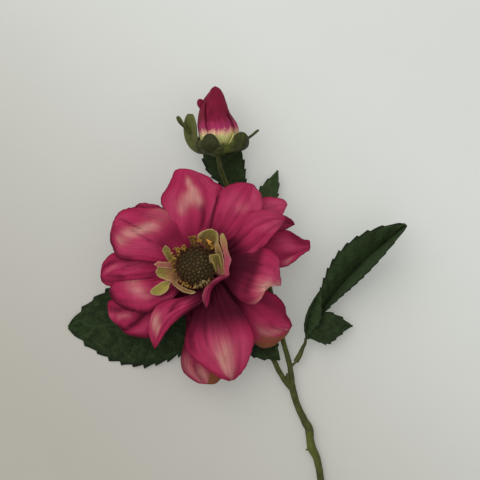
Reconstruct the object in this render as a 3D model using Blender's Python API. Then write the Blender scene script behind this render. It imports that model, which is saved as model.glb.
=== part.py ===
"""Fabric dahlia spray: one open bloom, one bud and three leaf sprigs on a forked moulded stem.

The spray lies on its back on the plane z = 0. The bloom faces +Z, the bud points to +Y and the
cut end of the stem points to -Y. Run with: blender --background --python part.py
"""

import math
from collections import namedtuple

import bmesh
import bpy
from mathutils import Matrix, Vector

# Lengths are in millimetres until a mesh is made, and angles are in degrees.
MM = 0.001
GAP = 0.3  # clearance where one piece sits on another
CLOTH = 0.7  # thickness of petals and leaves

# Bloom: the layers are threaded on the calyx pin, listed from the back to the front.
PIN_RADIUS = 1.3
PIN_TOP = 37.0
SOCKET_RADIUS = 1.5
SOCKET_TOP = 12.0
CALYX_BOTTOM = 7.0
CALYX_TOP = 19.7
CALYX_RADIUS = 7.5
CALYX_SEPALS = 8
PETAL_HUB_TOP = 28.0
PETAL_HUB_RADIUS = 7.0
COLLAR_TOP = 30.3
COLLAR_RADIUS = 7.6
STAMEN_RING_TOP = 32.1
STAMEN_RING_RADIUS = 7.8
DISC_RADIUS = 10.0
DISC_TOP = 40.4
DISC_EDGE = 2.4  # height of the seed head's plain edge
DISC_FOOT = 1.2  # how far the edge slopes in to the foot
SEED_ROWS = 4  # rings of seeds on the seed head
SEED_STEP = 4  # seeds in the inner ring, and how many more there are in each ring outwards
SEED_HEIGHT = 0.45
STAMEN_REACH = 12.0
STAMEN_TOP = 36.2
ANTHER_RADIUS = 0.75
ANTHER_LENGTH = 1.9

# Roots of the two petal layers, as radius and height
FRONT_ROOT = (4.0, 24.8)
BACK_ROOT = (4.0, 21.6)

# Bud
BUD_BASE = Vector((10.0, 58.5, 16.2))
BUD_TIP = Vector((8.0, 88.0, 17.2))
BUD_LENGTH = (BUD_TIP - BUD_BASE).length
BUD_SEAT = 2.5  # gap from the base of the bud to where its petals start
BUD_TWIST = 25  # how far the free edges of the bud's petals wind round it

# Leaves
TOOTH_DEPTH = 0.055  # against the half width of the leaflet
TOOTH_RISE = 0.72  # how much of each tooth is its long edge
RIB_RADIUS = 0.6
RIB_DROP = CLOTH / 2 + GAP + 0.1 + RIB_RADIUS
RIB_END = 0.86  # where the rib ends along the leaflet
PAD_RADIUS = 2.4

# Stem
PEG_RADIUS = 0.55
SLEEVE_BORE = 0.85
SLEEVE_RADIUS = 1.35
SLEEVE_DEPTH = 3.4
WIRE_RADIUS = 0.7
WIRE_BORE = 1.0
WIRE_BARE = 1.5  # length of wire that stands out of the cut end

# One side of a petal: half width, where it is broadest, and how blunt its end is (0.4) or sharp (1).
Half = namedtuple("Half", "half widest point")

# A petal, sepal or petaloid round an axis. Root, mid and tip are the azimuth, radius and height of
# the control points of its midline; right and left are its sides, seen from the root; neck is its
# width at the root against its widest; roll turns it about its length; cup holds the angles by
# which its right and left halves bend away from the side that faces up or inwards.
Blade = namedtuple("Blade", "root mid tip right left neck roll cup")

# A leaflet with a cut edge: three control points of its midrib, its half width, where it is
# broadest, how far its left and right halves fold up, how much they arch back down, and the number
# of teeth on each side.
Leaflet = namedtuple("Leaflet", "root mid tip half widest folds arch teeth")


def petal(root, azimuth, reach, peak, tip_height, right, left, cup, roll=0, over=0.5):
    """Petal that leaves the hub at root; over moves its middle outwards, so that its tip turns down."""
    middle = root[0] + over * (reach - root[0])
    return Blade((azimuth, *root), (azimuth, middle, peak), (azimuth, reach, tip_height),
                 Half(*right), Half(*left), 0.25, roll, cup)


FRONT_PETALS = (
    petal(FRONT_ROOT, 97, 48.0, 34, 27, (17.0, 0.74, 0.75), (14.0, 0.64, 0.70), (18, 18)),
    petal(FRONT_ROOT, 57.5, 47.0, 36, 27, (14.0, 0.68, 0.45), (11.0, 0.60, 0.45), (25, 22)),
    petal(FRONT_ROOT, 26.5, 48.0, 35, 27, (10.5, 0.55, 0.70), (12.0, 0.60, 0.50), (25, 20), 8),
    petal(FRONT_ROOT, -12, 41.0, 38, 20, (14.5, 0.66, 0.42), (14.0, 0.66, 0.42), (40, 40), 0, 0.8),
    petal(FRONT_ROOT, -74.5, 58.0, 36, 22, (17.0, 0.62, 0.62), (17.5, 0.62, 0.62), (25, 25)),
    petal(FRONT_ROOT, 199, 45.8, 34, 26, (3.8, 0.60, 0.45), (11.5, 0.65, 0.50), (30, 20)),
    petal(FRONT_ROOT, 155, 46.5, 36, 25, (16.0, 0.66, 0.38), (11.5, 0.62, 0.50), (22, 25)),
    Blade((-58, 4.0, 24.2), (-100, 21.0, 35.0), (-118, 46.5, 30.0),
          Half(7.5, 0.55, 0.80), Half(6.4, 0.30, 0.85), 0.35, 10, (12, -45)),
)

BACK_PETALS = (
    petal(BACK_ROOT, 35, 53.5, 26, 18, (11.5, 0.68, 0.50), (11.2, 0.72, 0.48), (15, 15)),
    petal(BACK_ROOT, 23.5, 54.5, 22, 14, (8.5, 0.60, 0.95), (9.0, 0.60, 0.95), (15, 15)),
    petal(BACK_ROOT, 10.5, 57.5, 25, 16, (10.0, 0.62, 0.62), (10.5, 0.62, 0.75), (20, 20)),
    petal(BACK_ROOT, -41, 55.0, 28, 15, (14.5, 0.66, 0.45), (17.0, 0.66, 0.50), (20, 20)),
    petal(BACK_ROOT, -88, 58.0, 24, 14, (10.0, 0.80, 0.50), (12.0, 0.76, 0.50), (20, 20)),
    petal(BACK_ROOT, 214, 50.5, 26, 15, (14.0, 0.62, 0.48), (15.0, 0.66, 0.48), (20, 20)),
    petal(BACK_ROOT, 186, 48.5, 30, 20, (10.0, 0.62, 0.50), (9.0, 0.70, 0.50), (15, 15)),
    petal(BACK_ROOT, 133, 40.5, 26, 18, (7.5, 0.62, 0.50), (11.0, 0.62, 0.50), (15, 15)),
)

# Small petals round the seed head
PETALOIDS = (
    Blade((205, 5, 29.3), (209, 15, 30.8), (211, 26.5, 34.5),
          Half(3.0, 0.82, 0.45), Half(3.0, 0.80, 0.50), 0.5, 0, (15, 15)),
    Blade((188, 5, 29.1), (188, 15, 30.5), (188, 21.5, 36.0),
          Half(4.2, 0.75, 0.40), Half(4.4, 0.80, 0.40), 0.4, 0, (-25, -25)),
    Blade((178, 5, 29.3), (180, 19, 30.2), (151, 19.3, 37.0),
          Half(2.2, 0.75, 0.50), Half(2.2, 0.75, 0.50), 0.6, 0, (20, 20)),
    Blade((68, 5, 29.1), (68, 20, 29.4), (68, 18.5, 38.5),
          Half(5.8, 0.70, 0.50), Half(5.4, 0.70, 0.50), 0.35, 0, (-34, -34)),
    Blade((-35, 5, 29.0), (-3, 20.3, 31.0), (53, 19.0, 38.0),
          Half(1.9, 0.55, 0.60), Half(1.9, 0.55, 0.60), 0.6, 45, (10, 10)),
    Blade((200, 5, 29.3), (222, 19, 31.0), (258, 14.6, 34.4),
          Half(1.7, 0.60, 0.60), Half(1.7, 0.60, 0.60), 0.7, 20, (10, 10)),
    Blade((8, 5, 29.1), (-6, 22, 30.6), (8, 7.5, 43.6),
          Half(3.4, 0.60, 0.60), Half(3.4, 0.60, 0.60), 0.6, 0, (-20, -20)),
)

# Azimuths of the stamen tufts, with the fan of the stamens in each
TUFTS = (30, 64, 80, 134, 148, 174, 190, 232, 252, 272, 292)
TUFT_FAN = (-3.5, 3.5)

# Bud: steps of its outline from base to tip, and the petals that wrap it, each with the azimuth of
# its free edge, its sweep behind that edge, how far up it reaches and how far its edge stands off
BUD_PROFILE = ((0, 6.8), (0.12, 9.2), (0.25, 9.6), (0.46, 8.2), (0.62, 6.6), (0.80, 4.9),
               (0.93, 3.4), (1, 1.6))
BUD_WRAPS = ((250, 110, 1.10, 1.0), (340, 120, 0.74, 1.1), (95, 130, 0.92, 0.9), (190, 80, 0.86, 1.2))

BROAD = Half(5.0, 0.62, 0.45)
SIDEWAYS = Half(4.2, 0.66, 0.42)
FINGER = Half(1.1, 0.60, 0.50)
BUD_SEPALS = (
    Blade((190, 4.0, -2.6), (190, 18.0, -3.0), (187, 13.6, 18.3), SIDEWAYS, SIDEWAYS, 0.9, 60, (0, 0)),
    Blade((254, 4.0, -2.6), (254, 17.0, -4.5), (252, 12.0, 7.6), BROAD, BROAD, 0.9, 0, (-22, -22)),
    Blade((336, 4.0, -2.6), (336, 18.0, -4.5), (342, 14.6, 7.8), BROAD, BROAD, 0.9, -30, (0, 0)),
    Blade((40, 4.0, -2.6), (40, 15.0, -4.0), (40, 11.4, 9.0), BROAD, BROAD, 0.9, 0, (-20, -20)),
    Blade((125, 4.0, -2.6), (125, 15.0, -4.0), (125, 11.4, 10.0), BROAD, BROAD, 0.9, 0, (-20, -20)),
)
BUD_FINGERS = (
    Blade((204, 5.0, -1.6), (194, 17.5, 0.5), (188, 20.2, 15.0), FINGER, FINGER, 0.9, 60, (0, 0)),
    Blade((-8, 5.0, -1.6), (-6, 15.5, -0.6), (-4, 20.6, 7.4), FINGER, FINGER, 0.9, -40, (0, 0)),
)

RIGHT_LEAFLETS = (
    Leaflet((54.0, -36.5, 6.0), (68.5, -7.0, -5.1), (104.5, 20.0, 14.0), 19, 0.58, (48, 77), 0.15, 9),
    Leaflet((54.0, -36.5, 6.0), (62.0, -29.0, 8.0), (77.5, -31.0, 5.0), 8.5, 0.45, (12, 18), 0.20, 4),
    Leaflet((54.0, -36.5, 6.0), (52.5, -24.0, 9.5), (62.0, -10.5, 15.0), 7, 0.45, (80, 20), 0.10, 4),
)

LEFT_LEAFLETS = (
    Leaflet((21.0, -30.5, 8.5), (-22.0, -29.0, 2.9), (-66.0, -31.5, 1.2), 22, 0.55, (6, 6), 0.22, 9),
    Leaflet((21.0, -30.5, 8.5), (31.0, -38.0, 9.5), (41.0, -47.5, 7.0), 8, 0.48, (5, 5), 0.15, 4),
    Leaflet((21.0, -30.5, 8.5), (15.0, -24.5, 10.8), (3.0, -23.5, 9.5), 5.5, 0.45, (15, 15), 0.10, 4),
)

TOP_LEAFLETS = (
    Leaflet((28.5, 23.5, 3.1), (18.0, 42.0, 1.4), (9.5, 63.0, 2.0), 10.2, 0.60, (10, 34), 0.12, 7),
    Leaflet((28.5, 23.5, 3.1), (35.5, 34.0, 3.5), (40.0, 47.5, 5.0), 5.4, 0.55, (10, 10), 0.15, 4),
    Leaflet((28.5, 23.5, 3.1), (20.0, 25.0, 2.6), (8.0, 33.0, 2.0), 6.5, 0.45, (8, 8), 0.10, 4),
)

# Routes as x, y, z and radius. Knots of the main stem are its thick points.
MAIN_STEM = (
    (74, -180, 1.8, 1.8), (71, -160, 1.8, 1.75), (67, -138, 1.8, 1.75), (63.5, -120, 1.9, 1.75),
    (61.5, -107, 2.0, 1.75), (59.6, -97.5, 2.1, 1.85), (57, -91.8, 2.2, 2.2), (56.2, -87.5, 2.2, 2.0),
    (55.6, -82, 2.3, 2.15), (53, -77.5, 2.4, 1.85), (49.3, -69, 2.6, 1.7), (47, -60.5, 3.0, 1.9),
)
BUD_BRANCH = (
    (47.2, -61.5, 3.0, 1.6), (46.6, -55, 3.1, 1.4), (45.5, -48.5, 3.2, 1.3), (42.3, -37, 3.5, 1.25),
    (38.5, -22, 4.5, 1.25), (34, -5, 5.5, 1.25), (28.5, 12, 6.6, 1.25), (20.5, 28, 7.6, 1.2),
    (14.4, 40, 10.4, 1.2), (11.4, 48, 14.4, 1.2), (10.35, 53.4, 16.0, 1.1), (10.05, 57.8, 16.18, 1.1),
)
BLOOM_BRANCH = (
    (47.0, -62, 3.0, 1.6), (43.6, -58.5, 3.0, 1.5), (39.8, -53, 3.0, 1.4), (36.3, -46, 3.0, 1.4),
    (28, -36, 3.0, 1.4), (14.5, -18.5, 2.8, 1.4), (6, -7.5, 2.8, 1.35), (1.6, -2.0, 4.0, 1.3),
    (0.1, -0.1, 6.4, 1.15), (0, 0, 9.0, 1.15), (0, 0, 11.5, 1.1),
)

# Stalks of the sprigs, from the sleeve that takes the peg to the first leaflet
RIGHT_SLEEVE = (
    (48.9, -48.4, 4.6, SLEEVE_RADIUS), (50.9, -44.9, 4.9, SLEEVE_RADIUS),
    (52.4, -41.4, 4.9, 0.95), (53.6, -39.0, 4.8, 0.8),
)
LEFT_SLEEVE = (
    (24.5, -35.8, 4.8, SLEEVE_RADIUS), (21.9, -34.6, 6.1, SLEEVE_RADIUS),
    (21.0, -32.8, 6.8, 0.95), (20.9, -31.6, 7.0, 0.8),
)
TOP_SLEEVE = (
    (31.4, 9.0, 4.2, SLEEVE_RADIUS), (31.8, 12.6, 3.2, SLEEVE_RADIUS),
    (30.8, 17.0, 2.2, 0.95), (29.4, 20.8, 1.9, 0.85),
)


def remove_objects():
    """Empty the scene."""
    for obj in list(bpy.data.objects):
        bpy.data.objects.remove(obj, do_unlink=True)


def material(name, colour, roughness):
    """Plain plastic or cloth finish."""
    mat = bpy.data.materials.new(name)
    mat.use_nodes = True
    shader = mat.node_tree.nodes["Principled BSDF"]
    shader.inputs["Base Color"].default_value = (*colour, 1.0)
    shader.inputs["Roughness"].default_value = roughness
    shader.inputs["Metallic"].default_value = 0.0
    return mat


def add_object(name, points, faces):
    """Object from points in millimetres."""
    mesh = bpy.data.meshes.new(name)
    mesh.from_pydata([Vector(p) * MM for p in points], [], faces)
    obj = bpy.data.objects.new(name, mesh)
    bpy.context.collection.objects.link(obj)
    return obj


def smooth_route(route, steps):
    """Catmull-Rom curve through the route's points, with steps pieces between neighbours."""
    rows = [Vector(p) for p in route]
    rows = [2 * rows[0] - rows[1], *rows, 2 * rows[-1] - rows[-2]]
    curve = []
    for a, b, c, d in zip(rows, rows[1:], rows[2:], rows[3:]):
        for k in range(steps):
            t = k / steps
            curve.append(0.5 * (2 * b + (c - a) * t + (2 * a - 5 * b + 4 * c - d) * t * t
                                + (3 * b - a - 3 * c + d) * t ** 3))
    curve.append(rows[-2])
    return curve


def tube(name, route, sides, steps=3):
    """Closed round bar along a route of (x, y, z, radius), its rings carried without twist."""
    rows = smooth_route([Vector(p) for p in route], steps)
    centres = [row.to_3d() for row in rows]
    ends = [centres[1] - centres[0], centres[-1] - centres[-2]]
    inner = [after - before for before, after in zip(centres, centres[2:])]
    tangents = [v.normalized() for v in (ends[0], *inner, ends[1])]
    across = tangents[0].orthogonal().normalized()
    points = []
    for row, centre, tangent in zip(rows, centres, tangents):
        across = (across - across.dot(tangent) * tangent).normalized()
        up = tangent.cross(across)
        for k in range(sides):
            turn = math.tau * k / sides
            points.append(centre + row[3] * (math.cos(turn) * across + math.sin(turn) * up))
    faces = []
    for ring in range(len(rows) - 1):
        for k in range(sides):
            low = ring * sides
            after = (k + 1) % sides
            faces.append((low + k, low + after, low + sides + after, low + sides + k))
    faces.append(tuple(reversed(range(sides))))
    faces.append(tuple(range(len(points) - sides, len(points))))
    return add_object(name, points, faces)


def lathe(name, profile, sides):
    """Body turned about Z from (radius, z) points that start and end on the axis."""
    start, *rim, end = profile
    points = [(0, 0, start[1])]
    for radius, height in rim:
        for k in range(sides):
            turn = math.tau * k / sides
            points.append((radius * math.cos(turn), radius * math.sin(turn), height))
    points.append((0, 0, end[1]))
    faces = []
    for k in range(sides):
        after = (k + 1) % sides
        faces.append((0, 1 + after, 1 + k))
        for ring in range(len(rim) - 1):
            low = 1 + ring * sides
            faces.append((low + k, low + after, low + sides + after, low + sides + k))
        last = 1 + (len(rim) - 1) * sides
        faces.append((last + k, last + after, len(points) - 1))
    obj = add_object(name, points, faces)
    outward(obj)
    return obj


def outward(obj):
    """Turn all the faces of a closed mesh outwards."""
    bm = bmesh.new()
    bm.from_mesh(obj.data)
    bmesh.ops.recalc_face_normals(bm, faces=bm.faces)
    bm.to_mesh(obj.data)
    bm.free()


def sheet(name, rows, thickness=CLOTH):
    """Solid sheet from a grid of points: triangles first, so both faces are split alike."""
    columns = len(rows[0])
    points = [p for row in rows for p in row]
    faces = []
    for i in range(len(rows) - 1):
        for j in range(columns - 1):
            a = i * columns + j
            b = a + columns
            if j < columns // 2:
                faces += [(a, b, b + 1), (a, b + 1, a + 1)]
            else:
                faces += [(a, b, a + 1), (a + 1, b, b + 1)]
    obj = add_object(name, points, faces)
    solid = obj.modifiers.new("Thickness", "SOLIDIFY")
    solid.thickness = thickness * MM
    solid.offset = 0.0
    return obj


def evaluated_copy(obj):
    """Replace an object's mesh by its evaluated one and clear its modifiers."""
    graph = bpy.context.evaluated_depsgraph_get()
    mesh = bpy.data.meshes.new_from_object(obj.evaluated_get(graph))
    obj.modifiers.clear()
    obj.data = mesh


def fuse(body, others, solver="EXACT"):
    """Join bodies into the first one by one Boolean union on a collection."""
    group = bpy.data.collections.new("operands")
    for other in others:
        group.objects.link(other)
    union = body.modifiers.new("Fuse", "BOOLEAN")
    union.operation = "UNION"
    union.operand_type = "COLLECTION"
    union.collection = group
    union.solver = solver
    evaluated_copy(body)
    for other in others:
        bpy.data.objects.remove(other, do_unlink=True)
    bpy.data.collections.remove(group)
    keep_outer_shell(body)
    return body


def cut(body, cutter):
    """Take one body away from another."""
    bore = body.modifiers.new("Bore", "BOOLEAN")
    bore.operation = "DIFFERENCE"
    bore.object = cutter
    bore.solver = "EXACT"
    evaluated_copy(body)
    bpy.data.objects.remove(cutter, do_unlink=True)


def keep_outer_shell(obj):
    """Fill sealed hollows and drop loose scraps: only the largest connected skin stays."""
    bm = bmesh.new()
    bm.from_mesh(obj.data)
    left = set(bm.verts)
    best = set()
    while left:
        seed = left.pop()
        shell = {seed}
        front = [seed]
        while front:
            vert = front.pop()
            for edge in vert.link_edges:
                other = edge.other_vert(vert)
                if other not in shell:
                    shell.add(other)
                    front.append(other)
        left -= shell
        if len(shell) > len(best):
            best = shell
    bmesh.ops.delete(bm, geom=[v for v in bm.verts if v not in best], context="VERTS")
    bm.to_mesh(obj.data)
    bm.free()


def finish(obj, name, mat, sharp=40):
    """Name a finished piece, give it its material and shade it smooth."""
    obj.name = name
    obj.data.name = name
    obj.data.materials.clear()
    obj.data.materials.append(mat)
    obj.data.shade_smooth()
    obj.data.set_sharp_from_angle(angle=math.radians(sharp))
    return obj


def quadratic(a, b, c, u):
    """Point of a quadratic curve with control points a, b and c."""
    return a * (1 - u) ** 2 + b * (2 * u * (1 - u)) + c * u * u


def polar(azimuth, radius, height):
    """Point at an azimuth in degrees round the axis."""
    turn = math.radians(azimuth)
    return Vector((radius * math.cos(turn), radius * math.sin(turn), height))


def half_width(side, neck, u):
    """Half width on one side: a neck that swells to the widest place and closes at the tip."""
    if u < side.widest:
        return side.half * (neck + (1 - neck) * math.sin(math.pi / 2 * u / side.widest))
    t = (u - side.widest) / (1 - side.widest)
    return side.half * max(1 - t * t, 0.0) ** side.point


def blade_point(blade, u, v, ridge):
    """Point of a blade: u runs from root to tip, v from its right edge (-1) to its left edge (1)."""
    root, mid, tip = (polar(*point) for point in (blade.root, blade.mid, blade.tip))
    tangent = ((mid - root) * (1 - u) + (tip - mid) * u).normalized()
    chord = math.radians(blade.tip[0]) if blade.root[0] == blade.tip[0] else math.atan2(
        tip.y - root.y, tip.x - root.x)
    side = Vector((-math.sin(chord), math.cos(chord), 0.0))
    side = (side - side.dot(tangent) * tangent).normalized()
    turn = Matrix.Rotation(math.radians(blade.roll) * u, 3, tangent)
    side = turn @ side
    normal = tangent.cross(side)
    half = half_width(blade.right if v < 0 else blade.left, blade.neck, u)
    cup = math.radians(blade.cup[0] if v < 0 else blade.cup[1])
    bend = cup * abs(v)
    if abs(cup) < 0.01:
        reach, drop = half * abs(v), 0.0
    else:
        reach, drop = half * math.sin(bend) / cup, half * (1 - math.cos(bend)) / cup
    swell = ridge * math.cos(3 * math.pi * v) * math.sin(math.pi * u)
    centre = quadratic(root, mid, tip, u)
    return centre + side * math.copysign(reach, v) + normal * (swell - drop)


def blade_sheet(name, blade, stations, columns, ridge=0.0, thickness=CLOTH, tip=0.985):
    """Solid blade with its root at u = 0 and a narrow blunt tip."""
    rows = []
    for i in range(stations + 1):
        u = tip * (1 - (1 - i / stations) ** 1.35)
        rows.append([blade_point(blade, u, 2 * j / columns - 1, ridge) for j in range(columns + 1)])
    return sheet(name, rows, thickness)


def place(obj, matrix):
    """Move a mesh by a matrix in millimetres."""
    scale = Matrix.Scale(MM, 4)
    obj.data.transform(scale @ matrix @ scale.inverted())


def pin_hole():
    """Cutter for the hole that the calyx pin runs through."""
    radius = PIN_RADIUS + GAP
    return lathe("hole", [(0, 0), (radius, 0), (radius, 50), (0, 50)], 10)


def bloom_petals(cloth):
    """Both layers of petals, fused to the hub that is threaded on the calyx pin."""
    bottom = CALYX_TOP + GAP
    hub = lathe("hub", [(0, bottom), (PETAL_HUB_RADIUS, bottom),
                        (PETAL_HUB_RADIUS, PETAL_HUB_TOP), (0, PETAL_HUB_TOP)], 24)
    petals = [blade_sheet("petal", blade, 7, 6, ridge=0.3) for blade in FRONT_PETALS]
    petals += [blade_sheet("petal", blade, 6, 4) for blade in BACK_PETALS]
    fuse(hub, petals)
    cut(hub, pin_hole())
    return finish(hub, "bloom_petals", cloth, 60)


def bloom_petaloids(cloth):
    """Collar of small petals, on the ring between the petals and the seed head."""
    bottom = PETAL_HUB_TOP + GAP
    ring = lathe("ring", [(0, bottom), (COLLAR_RADIUS, bottom),
                          (COLLAR_RADIUS, COLLAR_TOP), (0, COLLAR_TOP)], 24)
    petaloids = [blade_sheet("petaloid", blade, 5, 4) for blade in PETALOIDS]
    fuse(ring, petaloids)
    cut(ring, pin_hole())
    return finish(ring, "bloom_petaloids", cloth, 60)


def bloom_stamens(plastic):
    """Ring with tufts of short stamens that lean out round the seed head, each with an anther."""
    bottom = COLLAR_TOP + GAP
    ring = lathe("ring", [(0, bottom), (STAMEN_RING_RADIUS, bottom),
                          (STAMEN_RING_RADIUS, STAMEN_RING_TOP), (0, STAMEN_RING_TOP)], 24)
    stalks = []
    for tuft in TUFTS:
        for fan in TUFT_FAN:
            azimuth = tuft + fan
            height = STAMEN_TOP + 0.9 * math.sin(azimuth)
            reach = STAMEN_REACH + 0.5 * math.cos(azimuth)
            stalks.append(tube("stamen", (
                (*polar(azimuth, STAMEN_RING_RADIUS - 0.6, bottom + 0.8), 0.45),
                (*polar(azimuth, DISC_RADIUS + 0.9, bottom + 1.4), 0.45),
                (*polar(azimuth, reach, height - ANTHER_LENGTH / 2), 0.35),
                (*polar(azimuth, reach, height), ANTHER_RADIUS),
                (*polar(azimuth, reach, height + ANTHER_LENGTH / 2), 0.35),
            ), 4, 1))
    fuse(ring, stalks)
    cut(ring, pin_hole())
    return finish(ring, "bloom_stamens", plastic)


def seed_relief(turn, ring):
    """Height of the seeds: every second ring holds a row of them, the others are the grooves."""
    if ring % 2:
        return -SEED_HEIGHT / 3
    seeds = SEED_STEP * (SEED_ROWS - ring // 2)
    return SEED_HEIGHT * math.cos(seeds * turn + ring)


def bloom_disc(plastic):
    """Seed head: a dome with rows of seeds, with a socket for the pin below."""
    sides, rings = 48, 2 * SEED_ROWS
    bottom = STAMEN_RING_TOP + GAP
    shoulder = bottom + DISC_EDGE
    points = [Vector((0, 0, bottom))]
    points += [polar(360 * k / sides, DISC_RADIUS - DISC_FOOT, bottom) for k in range(sides)]
    for ring in range(rings):
        t = 1 - ring / rings
        lift = (DISC_TOP - shoulder) * (1 - t * t) ** 0.8
        for k in range(sides):
            bump = seed_relief(math.tau * k / sides, ring)
            radius = (DISC_RADIUS + 0.5 * bump) * t
            points.append(polar(360 * k / sides, radius, shoulder + lift + bump))
    points.append(Vector((0, 0, DISC_TOP)))
    faces = []
    for k in range(sides):
        after = (k + 1) % sides
        faces.append((0, 1 + after, 1 + k))
        for ring in range(rings):
            low = 1 + ring * sides
            faces.append((low + k, low + after, low + sides + after, low + sides + k))
        last = 1 + rings * sides
        faces.append((last + k, last + after, len(points) - 1))
    dome = add_object("dome", points, faces)
    outward(dome)
    radius = PIN_RADIUS + GAP
    end = PIN_TOP + GAP
    cut(dome, lathe("socket", [(0, 0), (radius, 0), (radius, end), (0, end)], 10))
    return finish(dome, "bloom_disc", plastic, 50)


def bloom_calyx(plastic):
    """Cup behind the bloom: a socket for the branch below, sepals round it and the pin above."""
    cup = lathe("cup", [
        (0, SOCKET_TOP), (SOCKET_RADIUS, SOCKET_TOP), (SOCKET_RADIUS, CALYX_BOTTOM),
        (2.6, CALYX_BOTTOM), (3.0, 9.5), (4.6, 12.4), (6.6, 15.2), (CALYX_RADIUS, CALYX_TOP),
        (PIN_RADIUS, CALYX_TOP), (PIN_RADIUS, PIN_TOP), (0, PIN_TOP),
    ], 16)
    sepals = []
    half = Half(3.2, 0.45, 0.70)
    for k in range(CALYX_SEPALS):
        turn = 360 * k / CALYX_SEPALS + 5
        rise = 15.6 - 0.9 * (k % 2)
        blade = Blade((turn, 4.0, rise - 1), (turn, 14.0, rise), (turn, 17.5, 9.5),
                      half, half, 0.7, 12, (12, 12))
        sepals.append(blade_sheet("sepal", blade, 4, 2, thickness=0.8))
    fuse(cup, sepals)
    return finish(cup, "bloom_calyx", plastic)


def bud_frame():
    """Frame of the bud: its Z runs from base to tip and its -Y faces up from the surface."""
    along = (BUD_TIP - BUD_BASE).normalized()
    across = Vector((1, 0, 0))
    across = (across - across.dot(along) * along).normalized()
    deep = along.cross(across)
    frame = Matrix((across, deep, along)).transposed().to_4x4()
    frame.translation = BUD_BASE
    return frame


def bud_radius(t):
    """Radius of the bud's body from base (0) to tip (1), along straight steps of its profile."""
    for (t0, r0), (t1, r1) in zip(BUD_PROFILE, BUD_PROFILE[1:]):
        if t <= t1:
            return r0 + (r1 - r0) * (t - t0) / (t1 - t0)
    return BUD_PROFILE[-1][1]


def bud_height(t):
    """Height along the bud's axis from base (0) to tip (1)."""
    return BUD_SEAT + t * (BUD_LENGTH - BUD_SEAT)


def wrap_relief(azimuth, t):
    """How far the wrapping petals stand off the bud: each thickens to its free edge, then steps down."""
    relief = 0.0
    for edge, sweep, top, lift in BUD_WRAPS:
        behind = (edge + BUD_TWIST * t - azimuth) % 360
        if behind < sweep and t < top:
            relief = max(relief, lift * (1 - behind / sweep))
    return relief


def bud_petals(cloth):
    """Closed bud whose petals wrap over each other, with the lip of one curled off at the top."""
    sides, rings = 36, 12
    points = [Vector((0, 0, bud_height(0)))]
    for ring in range(rings + 1):
        t = ring / rings
        for k in range(sides):
            azimuth = 360 * k / sides
            points.append(polar(azimuth, bud_radius(t) - 0.4 + wrap_relief(azimuth, t), bud_height(t)))
    points.append(Vector((0, 0, bud_height(1))))
    faces = []
    for k in range(sides):
        after = (k + 1) % sides
        faces.append((0, 1 + after, 1 + k))
        for ring in range(rings):
            low = 1 + ring * sides
            faces.append((low + k, low + after, low + sides + after, low + sides + k))
        last = 1 + rings * sides
        faces.append((last + k, last + after, len(points) - 1))
    body = add_object("body", points, faces)
    outward(body)
    lip = Blade((192, 5.6, bud_height(0.55)), (192, 7.6, bud_height(0.75)), (186, 8.6, bud_height(0.82)),
                Half(2.2, 0.7, 0.5), Half(2.2, 0.7, 0.5), 0.9, 40, (30, 30))
    fuse(body, [blade_sheet("lip", lip, 4, 2, thickness=0.8)])
    place(body, bud_frame())
    return finish(body, "bud_petals", cloth, 50)


def bud_calyx(plastic):
    """Shallow cup that holds the bud, with broad sepals, thin fingers and the branch's socket."""
    cup = lathe("cup", [
        (0, 0.2), (1.45, 0.2), (1.45, -4.8), (2.6, -4.8), (3.6, -3.2), (6.6, -1.6), (8.6, 0.4),
        (9.0, 2.4), (7.8, 2.2), (5.0, 1.7), (0, 1.7),
    ], 16)
    sepals = [blade_sheet("sepal", blade, 4, 4, thickness=0.8) for blade in BUD_SEPALS]
    sepals += [blade_sheet("finger", blade, 4, 2, thickness=0.9) for blade in BUD_FINGERS]
    fuse(cup, sepals)
    place(cup, bud_frame())
    return finish(cup, "bud_calyx", plastic)


def leaflet_half_width(leaflet, u):
    """Half width of a leaflet without its teeth: rounded base, pointed tip."""
    w = leaflet.widest
    power = 3.0 if u < w else 2.3
    return leaflet.half * ((u / w) ** w * ((1 - u) / (1 - w)) ** (1 - w)) ** power


def leaflet_frame(leaflet, u):
    """Midrib point of a leaflet with its side and its normal."""
    root, mid, tip = Vector(leaflet.root), Vector(leaflet.mid), Vector(leaflet.tip)
    tangent = ((mid - root) * (1 - u) + (tip - mid) * u).normalized()
    side = Vector((0, 0, 1)).cross(tangent).normalized()
    return quadratic(root, mid, tip, u), side, tangent.cross(side)


def leaflet_rows(leaflet):
    """Points of a leaflet folded along its midrib, with saw teeth that point to the tip."""
    stations = [(0.02, 0.0)]
    first, last = 0.10, 0.97
    step = (last - first) / leaflet.teeth
    for k in range(leaflet.teeth):
        stations.append((first + k * step, -1.0))
        stations.append((first + (k + TOOTH_RISE) * step, 0.6))
    stations.append((0.985, 0.0))
    rows = []
    for u, tooth in stations:
        centre, side, normal = leaflet_frame(leaflet, u)
        half = leaflet_half_width(leaflet, u)
        depth = tooth * TOOTH_DEPTH * min(leaflet.half, half / 0.3)
        half = max(half, 0.8 if u > 0.5 else 1.6)
        row = []
        for v in (-1.0, -0.5, 0.0, 0.5, 1.0):
            fold = math.radians(leaflet.folds[0] if v > 0 else leaflet.folds[1])
            reach = half * abs(v) + (depth if abs(v) == 1.0 else 0.0)
            out = side * math.copysign(reach * math.cos(fold), v) if v else Vector()
            rise = reach * math.sin(fold) - leaflet.arch * half * v * v
            point = centre + out + normal * rise
            point.z = max(point.z, CLOTH / 2)
            row.append(point)
        rows.append(row)
    return rows


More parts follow.
